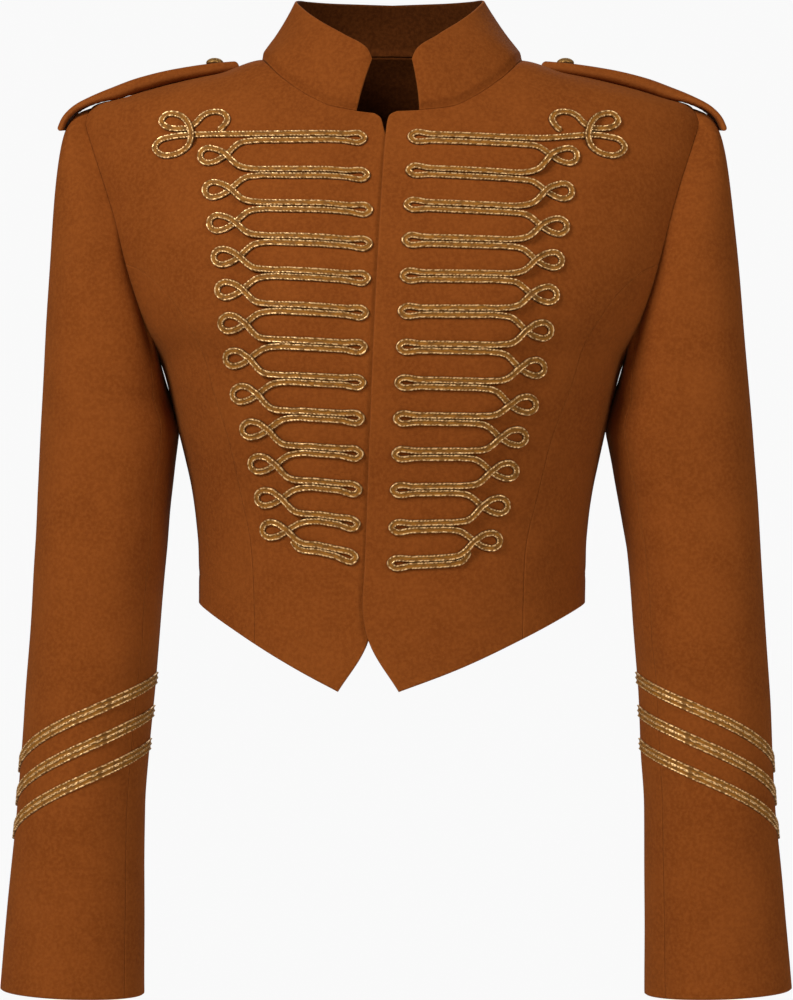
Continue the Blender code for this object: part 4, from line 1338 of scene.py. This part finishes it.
def facing_out(points, quads):
    """Turns all faces over when the volume they enclose comes out negative."""
    a, b, c, d = (points[quads[:, k]] - points.mean(axis=0) for k in range(4))
    volume = np.sum(a * np.cross(b, c)) + np.sum(a * np.cross(c, d))
    return quads if volume > 0 else quads[:, ::-1]


def add_cords(name, cords, side):
    """One piece from one or more cords."""
    parts = [cord_mesh(*cord) for cord in cords]
    starts = np.cumsum([0] + [len(part[0]) for part in parts])
    points = np.concatenate([part[0] for part in parts])
    if side == "left":
        points = points * MIRROR
    quads = np.concatenate([part[1] + start for part, start in zip(parts, starts)])
    uv = np.concatenate([part[2] for part in parts])
    return add_piece(name, points, facing_out(points, quads), (GOLD,), uv=uv)


print("cord", BRAID_WIDE, "mm wide")

# %% [markdown]
# On each front one long braid is laid in thirteen double rows. It turns in a round bulb at the
# closing, and between rows it runs out into an eye: the strand crosses over itself there, so its
# height above the cloth is part of the route. The first row starts in a knot of three loops.

# %% Braid route
BRAID_PITCH = 4.7
TURN_BULB = 3.1
TURN_LONG = 14.0
ROW_COUNT = 13
ROWS = {
    "right": {"row": [0, 1, 5, 8, 10, 11, 12], "z": [-61.5, -85.3, -181.3, -252.5, -300.3, -325.3, -349.5]},
    "left": {"row": [0, 1, 4, 6, 9, 11, 12], "z": [-61.2, -87, -158.5, -205.2, -276.5, -323.4, -345.5]},
}
ROW_RISE = {
    "right": {"row": [0, 1, 3, 5, 7, 9, 12], "rise": [-2.6, -3.4, -1.5, 0, -1, 0, 1.5]},
    "left": {"row": [0, 4, 8, 11, 12], "rise": [0, 3.4, 3.4, 4.6, 6]},
}
ROW_END = {
    "right": {"z": [-350, -84, -60], "x": [17, 17.6, 17.2]},
    "left": {"z": [-350, -300, -130, -84, -60], "x": [6.5, 5.5, 5.6, 10.5, 14.3]},
}
EYE_X = {
    "right": {"z": [-338, -313, -265, -216, -143, -72], "x": [62.7, 68.3, 80.6, 93.6, 105.5, 116.7]},
    "left": {"z": [-346, -262, -214, -143, -72], "x": [75.5, 90.3, 103, 111, 121.4]},
}
EYE_RISE = {
    "right": {"row": [0, 1, 2, 5, 7, 8, 11], "rise": [2.6, 1.7, 0.6, 0.3, -1.2, 0, 1.9]},
    "left": {"row": [0, 3, 5, 11], "rise": [0, 0, 2, 2]},
}
EYE_LONG = 17.8
EYE_HIGH = 10.5
EYE_LEAD = 20.0
EYE_FULLNESS = 1.3
EYE_POINTS = 10
EYE_OVER = 1.6
LEAD_SHARE = 0.45
LEAD_FALL = 0.18
LEAD_LIFT = 0.8
RUN_POINTS = 5
TAIL_BEND = (1.5, -4.4)
TAIL_END = (-2.5, -6.5)
KNOT_X = {"right": 132.7, "left": 136}
KNOT_Z = -54.7
KNOT_EXIT = 4
KNOT = {
    "out":  [-18, -21.8, -24.1, -21.6, -14.1, -7.3, -3, 2, 10, 18, 21.5, 18, 10, 4, 0.5, 0, 3, 10, 20, 25.5,
             22.5, 13, 3],
    "up":   [-2.0, 2, 6.4, 10.5, 11.8, 9.4, 4.8, 1.2, 0.6, 2.4, 6.6, 11, 10.6, 6, -1.2, -7.2, -12.5, -17,
             -17.6, -12.5, -7.3, -4.8, -4.1],
    "lift": [0, 0, 0, 0, 0, 0, 0, 0, 0, 0, 0, 0, 0, 0.7, 1, 0.9, 0, 0, 0, 0, 0, 0, 0],
}


def eye_loop(x, z):
    """Loop between two rows: out along its lower side, round the end, and back over the crossing."""
    swing = np.linspace(0, 2 * math.pi, EYE_POINTS)
    out = x + EYE_LONG * (1 - np.cos(swing)) / 2
    up = z - EYE_HIGH / 2 * EYE_FULLNESS * np.sin(swing) * np.sin(swing / 2)
    return np.stack([out, up, np.where(swing > EYE_OVER * math.pi, 1.0, 0.0)], axis=1)


def row_line(x, z, end, slope, far):
    """Points of a straight strand at the given distances, level again beyond the far distance."""
    return np.stack([x, z + slope * (np.minimum(x, far) - end), 0 * x], axis=1)


def braid_route(side):
    """Route as outward distance, height and lift: the knot, then runs, bulbs, leads and eyes."""
    numbers = np.arange(ROW_COUNT)
    row_z = table_at(ROWS[side], numbers)
    rise = table_at(ROW_RISE[side], numbers)
    middle = (row_z[1:] + rise[1:] + row_z[:-1] + rise[:-1]) / 2
    middle = middle + table_at(EYE_RISE[side], numbers[:-1])
    throat = table_at(EYE_X[side], middle) - EYE_LONG / 2
    half = BRAID_PITCH / 2
    knot = np.array([KNOT["out"], KNOT["up"], KNOT["lift"]], float).T + (KNOT_X[side], KNOT_Z, 0)
    route = [knot]
    start = KNOT_X[side] - KNOT_EXIT
    for number, z in enumerate(row_z):
        end = float(table_at(ROW_END[side], z))
        end = end - float(edge_x("right", z)) * (-1 if side == "right" else 1)
        eye = min(number, ROW_COUNT - 2)
        far = throat[eye] - EYE_LEAD
        slope = rise[number] / (far - end)
        inward = np.linspace(start, end + TURN_LONG, RUN_POINTS)[1 if number == 0 else 0:]
        route.append(row_line(inward, z + half, end, slope, far))
        neck = end + TURN_BULB
        route.append([[neck, z + TURN_BULB, 0], [end, z, 0], [neck, z - TURN_BULB, 0]])
        outward = np.linspace(end + TURN_LONG, far, RUN_POINTS)
        route.append(row_line(outward, z - half, end, slope, far))
        bend = throat[eye] - EYE_LEAD * LEAD_SHARE
        if number == eye:
            leave = z - half + rise[number]
            route.append([[bend, leave + (middle[eye] - leave) * LEAD_FALL, 0]])
            route.append(eye_loop(throat[eye], middle[eye]))
            arrive = row_z[number + 1] + half + rise[number + 1]
            route.append([[bend, arrive + (middle[eye] - arrive) * LEAD_FALL, LEAD_LIFT]])
            start = far
    beside = arrive + (middle[-1] - arrive) * LEAD_FALL
    route.append([[bend + TAIL_BEND[0], beside + TAIL_BEND[1], 0],
                  [throat[-1] + TAIL_END[0], middle[-1] + TAIL_END[1], 0]])
    return np.concatenate([np.asarray(piece, float) for piece in route])


def braid(side):
    route = flowing(braid_route(side), BRAID_STEP)
    points, normals = front_form(side, turn_of(route[:, 0], route[:, 1]), route[:, 1])
    points = points + normals * (BRAID_LIFT * np.clip(route[:, 2], 0, 1))[:, None]
    return add_cords("gold_braid_" + side, [(points, normals)], side), lengths(points)[-1]


gold = {}
for hand in SIDES:
    gold["braid_" + hand], braid_length = braid(hand)
    print("braid", hand, round(braid_length), "mm long,", len(gold["braid_" + hand].data.polygons), "faces")

# %% [markdown]
# Three stripes slant round each cuff, lowest at the outer edge. Each stripe is two braids laid
# side by side on the sleeve, whose ends meet on the inner side of the arm.

# %% Cuff braids
CUFF_COUNT = 3
CUFF_APART = 3.6
CUFF_INNER_Z = -430
CUFF_DROP = 62.5
CUFF_STEP = 22.9
CUFF_CURVE = 1.4
CUFF_POINTS = 520
CUFF_SINK = 0.6
CUFF_END_TURN = 0.4
AROUND_STEP = 0.5


def on_sleeve(turns, z, side):
    """Point and normal of the sleeve below its head, from two small steps on its surface."""
    def place(turn, height):
        return sleeve_ring(turn, height) + sway(side, turn, height)
    around = place(turns + AROUND_STEP, z) - place(turns - AROUND_STEP, z)
    up = place(turns, z + HEIGHT_STEP) - place(turns, z - HEIGHT_STEP)
    normal = unit(np.cross(around, up))
    return place(turns, z) + normal * sleeve_relief(turns, z, SLEEVE_SHIFT[side])[:, None], normal


def cuff_braid(side, number):
    turns = np.linspace(CUFF_END_TURN, 360 - CUFF_END_TURN, CUFF_POINTS)
    share = 1 - np.abs(1 - turns / 180)
    height = CUFF_INNER_Z - number * CUFF_STEP - CUFF_DROP * share ** CUFF_CURVE
    points, normals = on_sleeve(turns, height, side)
    sideways = unit(np.cross(unit(np.gradient(points, axis=0)), normals))
    cords = []
    for way in (-1, 1):
        cords.append((points + sideways * way * CUFF_APART / 2 - normals * CUFF_SINK, normals))
    return add_cords(f"gold_cuff_braid_{side}_{number + 1}", cords, side)


for hand in SIDES:
    for stripe in range(CUFF_COUNT):
        gold[f"cuff_braid_{hand}_{stripe + 1}"] = cuff_braid(hand, stripe)
print("cuff stripes", [name for name in gold if name.startswith("cuff")])

# %% [markdown]
# The strap buttons are low domes of old brass with a woven face. A square grid is drawn to a disc,
# so the dome has no pole, and the weave is a product of two sine waves that fades at the rim.

# %% Buttons
BUTTON_X = 124
BUTTON_RADIUS = 6.2
BUTTON_DOME = 3.9
BUTTON_BACK = 0.6
BUTTON_SEAT = -0.2
BUTTON_STEPS = 48
WEAVE_PITCH = 1.9
WEAVE_DEEP = 0.45
BRASS_DARK = (0.120, 0.050, 0.0100, 1)
BRASS_BRIGHT = (0.520, 0.280, 0.0650, 1)
BRASS_FLECK = {"share": 0.6, "middle": 0.3}
BRASS_NAP = {"Fleck_Scale": 900.0, "Fibre_Scale": 2600.0}
BRASS_RANGE = (0.2, 0.9)
BRASS_ROUGHNESS = (0.70, 0.50)
BRASS_METAL = 0.5
BRASS_BUMP = {"Strength": 0.2, "Distance": 0.0003}


def brass_finish():
    """Old brass: bright on the weave's high places and brown in its hollows."""
    material, tree, shader = new_finish("old brass")
    nap = add_nap(tree, **BRASS_NAP)
    high = add_node(tree, "ShaderNodeAttribute", attribute_name="weave").outputs["Fac"]
    above = math_node(tree, "SUBTRACT", high, BRASS_FLECK["middle"])
    worn = math_node(tree, "MULTIPLY_ADD", nap.outputs["Fleck"], BRASS_FLECK["share"], above)
    colour = mix_colours(tree, ramp_between(tree, worn, *BRASS_RANGE), BRASS_DARK, BRASS_BRIGHT)
    tree.links.new(colour, shader.inputs["Base Color"])
    rough = ramp_between(tree, worn, *BRASS_RANGE, *BRASS_ROUGHNESS)
    tree.links.new(rough, shader.inputs["Roughness"])
    set_inputs(shader, {"Metallic": BRASS_METAL})
    add_bump(tree, shader, nap.outputs["Height"], BRASS_BUMP)
    return material


def button(side):
    """Half ellipsoids above and below one rim, from a square grid drawn to a disc."""
    step = np.linspace(-1, 1, BUTTON_STEPS + 1)
    u, v = np.meshgrid(step, step)
    x = u * np.sqrt(1 - v ** 2 / 2)
    y = v * np.sqrt(1 - u ** 2 / 2)
    rise = np.sqrt(np.clip(1 - x ** 2 - y ** 2, 0, 1))
    wave = 2 * math.pi * BUTTON_RADIUS / WEAVE_PITCH
    weave = 0.5 + 0.5 * np.sin(wave * (x + y)) * np.sin(wave * (x - y))
    under = np.interp(BUTTON_X, *strap_line(np.linspace(0, 1, STRAP_FINE)).T)
    seat = under + STRAP_TOP + BUTTON_SEAT + BUTTON_BACK
    middle = BUTTON_X - STRAP_NEAR[side]
    flat = np.stack([middle + BUTTON_RADIUS * x, STRAP_SHIFT + BUTTON_RADIUS * y, seat + 0 * x], axis=-1)
    up = np.array([0, 0, 1.0])
    outer = flat + up * (rise * (BUTTON_DOME - WEAVE_DEEP * (1 - weave)))[..., None]
    inner = flat - up * (rise * BUTTON_BACK)[..., None]
    piece = two_layers("brass_button_" + side, outer, inner, (BRASS,), side)
    high = np.r_[weave.ravel(), np.zeros(weave[1:-1, 1:-1].size)]
    layer = piece.data.attributes.new("weave", "FLOAT", "POINT")
    layer.data.foreach_set("value", high.astype(np.float32))
    return piece


BRASS = brass_finish()
brass = {"button_" + hand: button(hand) for hand in SIDES}
print("buttons", list(brass))

# %% [markdown]
# Last of all: each piece stands for its CAD node, which is hidden.

# %% Finish
for slot_name, pieces in (("wool", cloth), ("gold_braid", gold), ("brass", brass)):
    for node_name, piece in pieces.items():
        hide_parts(node_name)
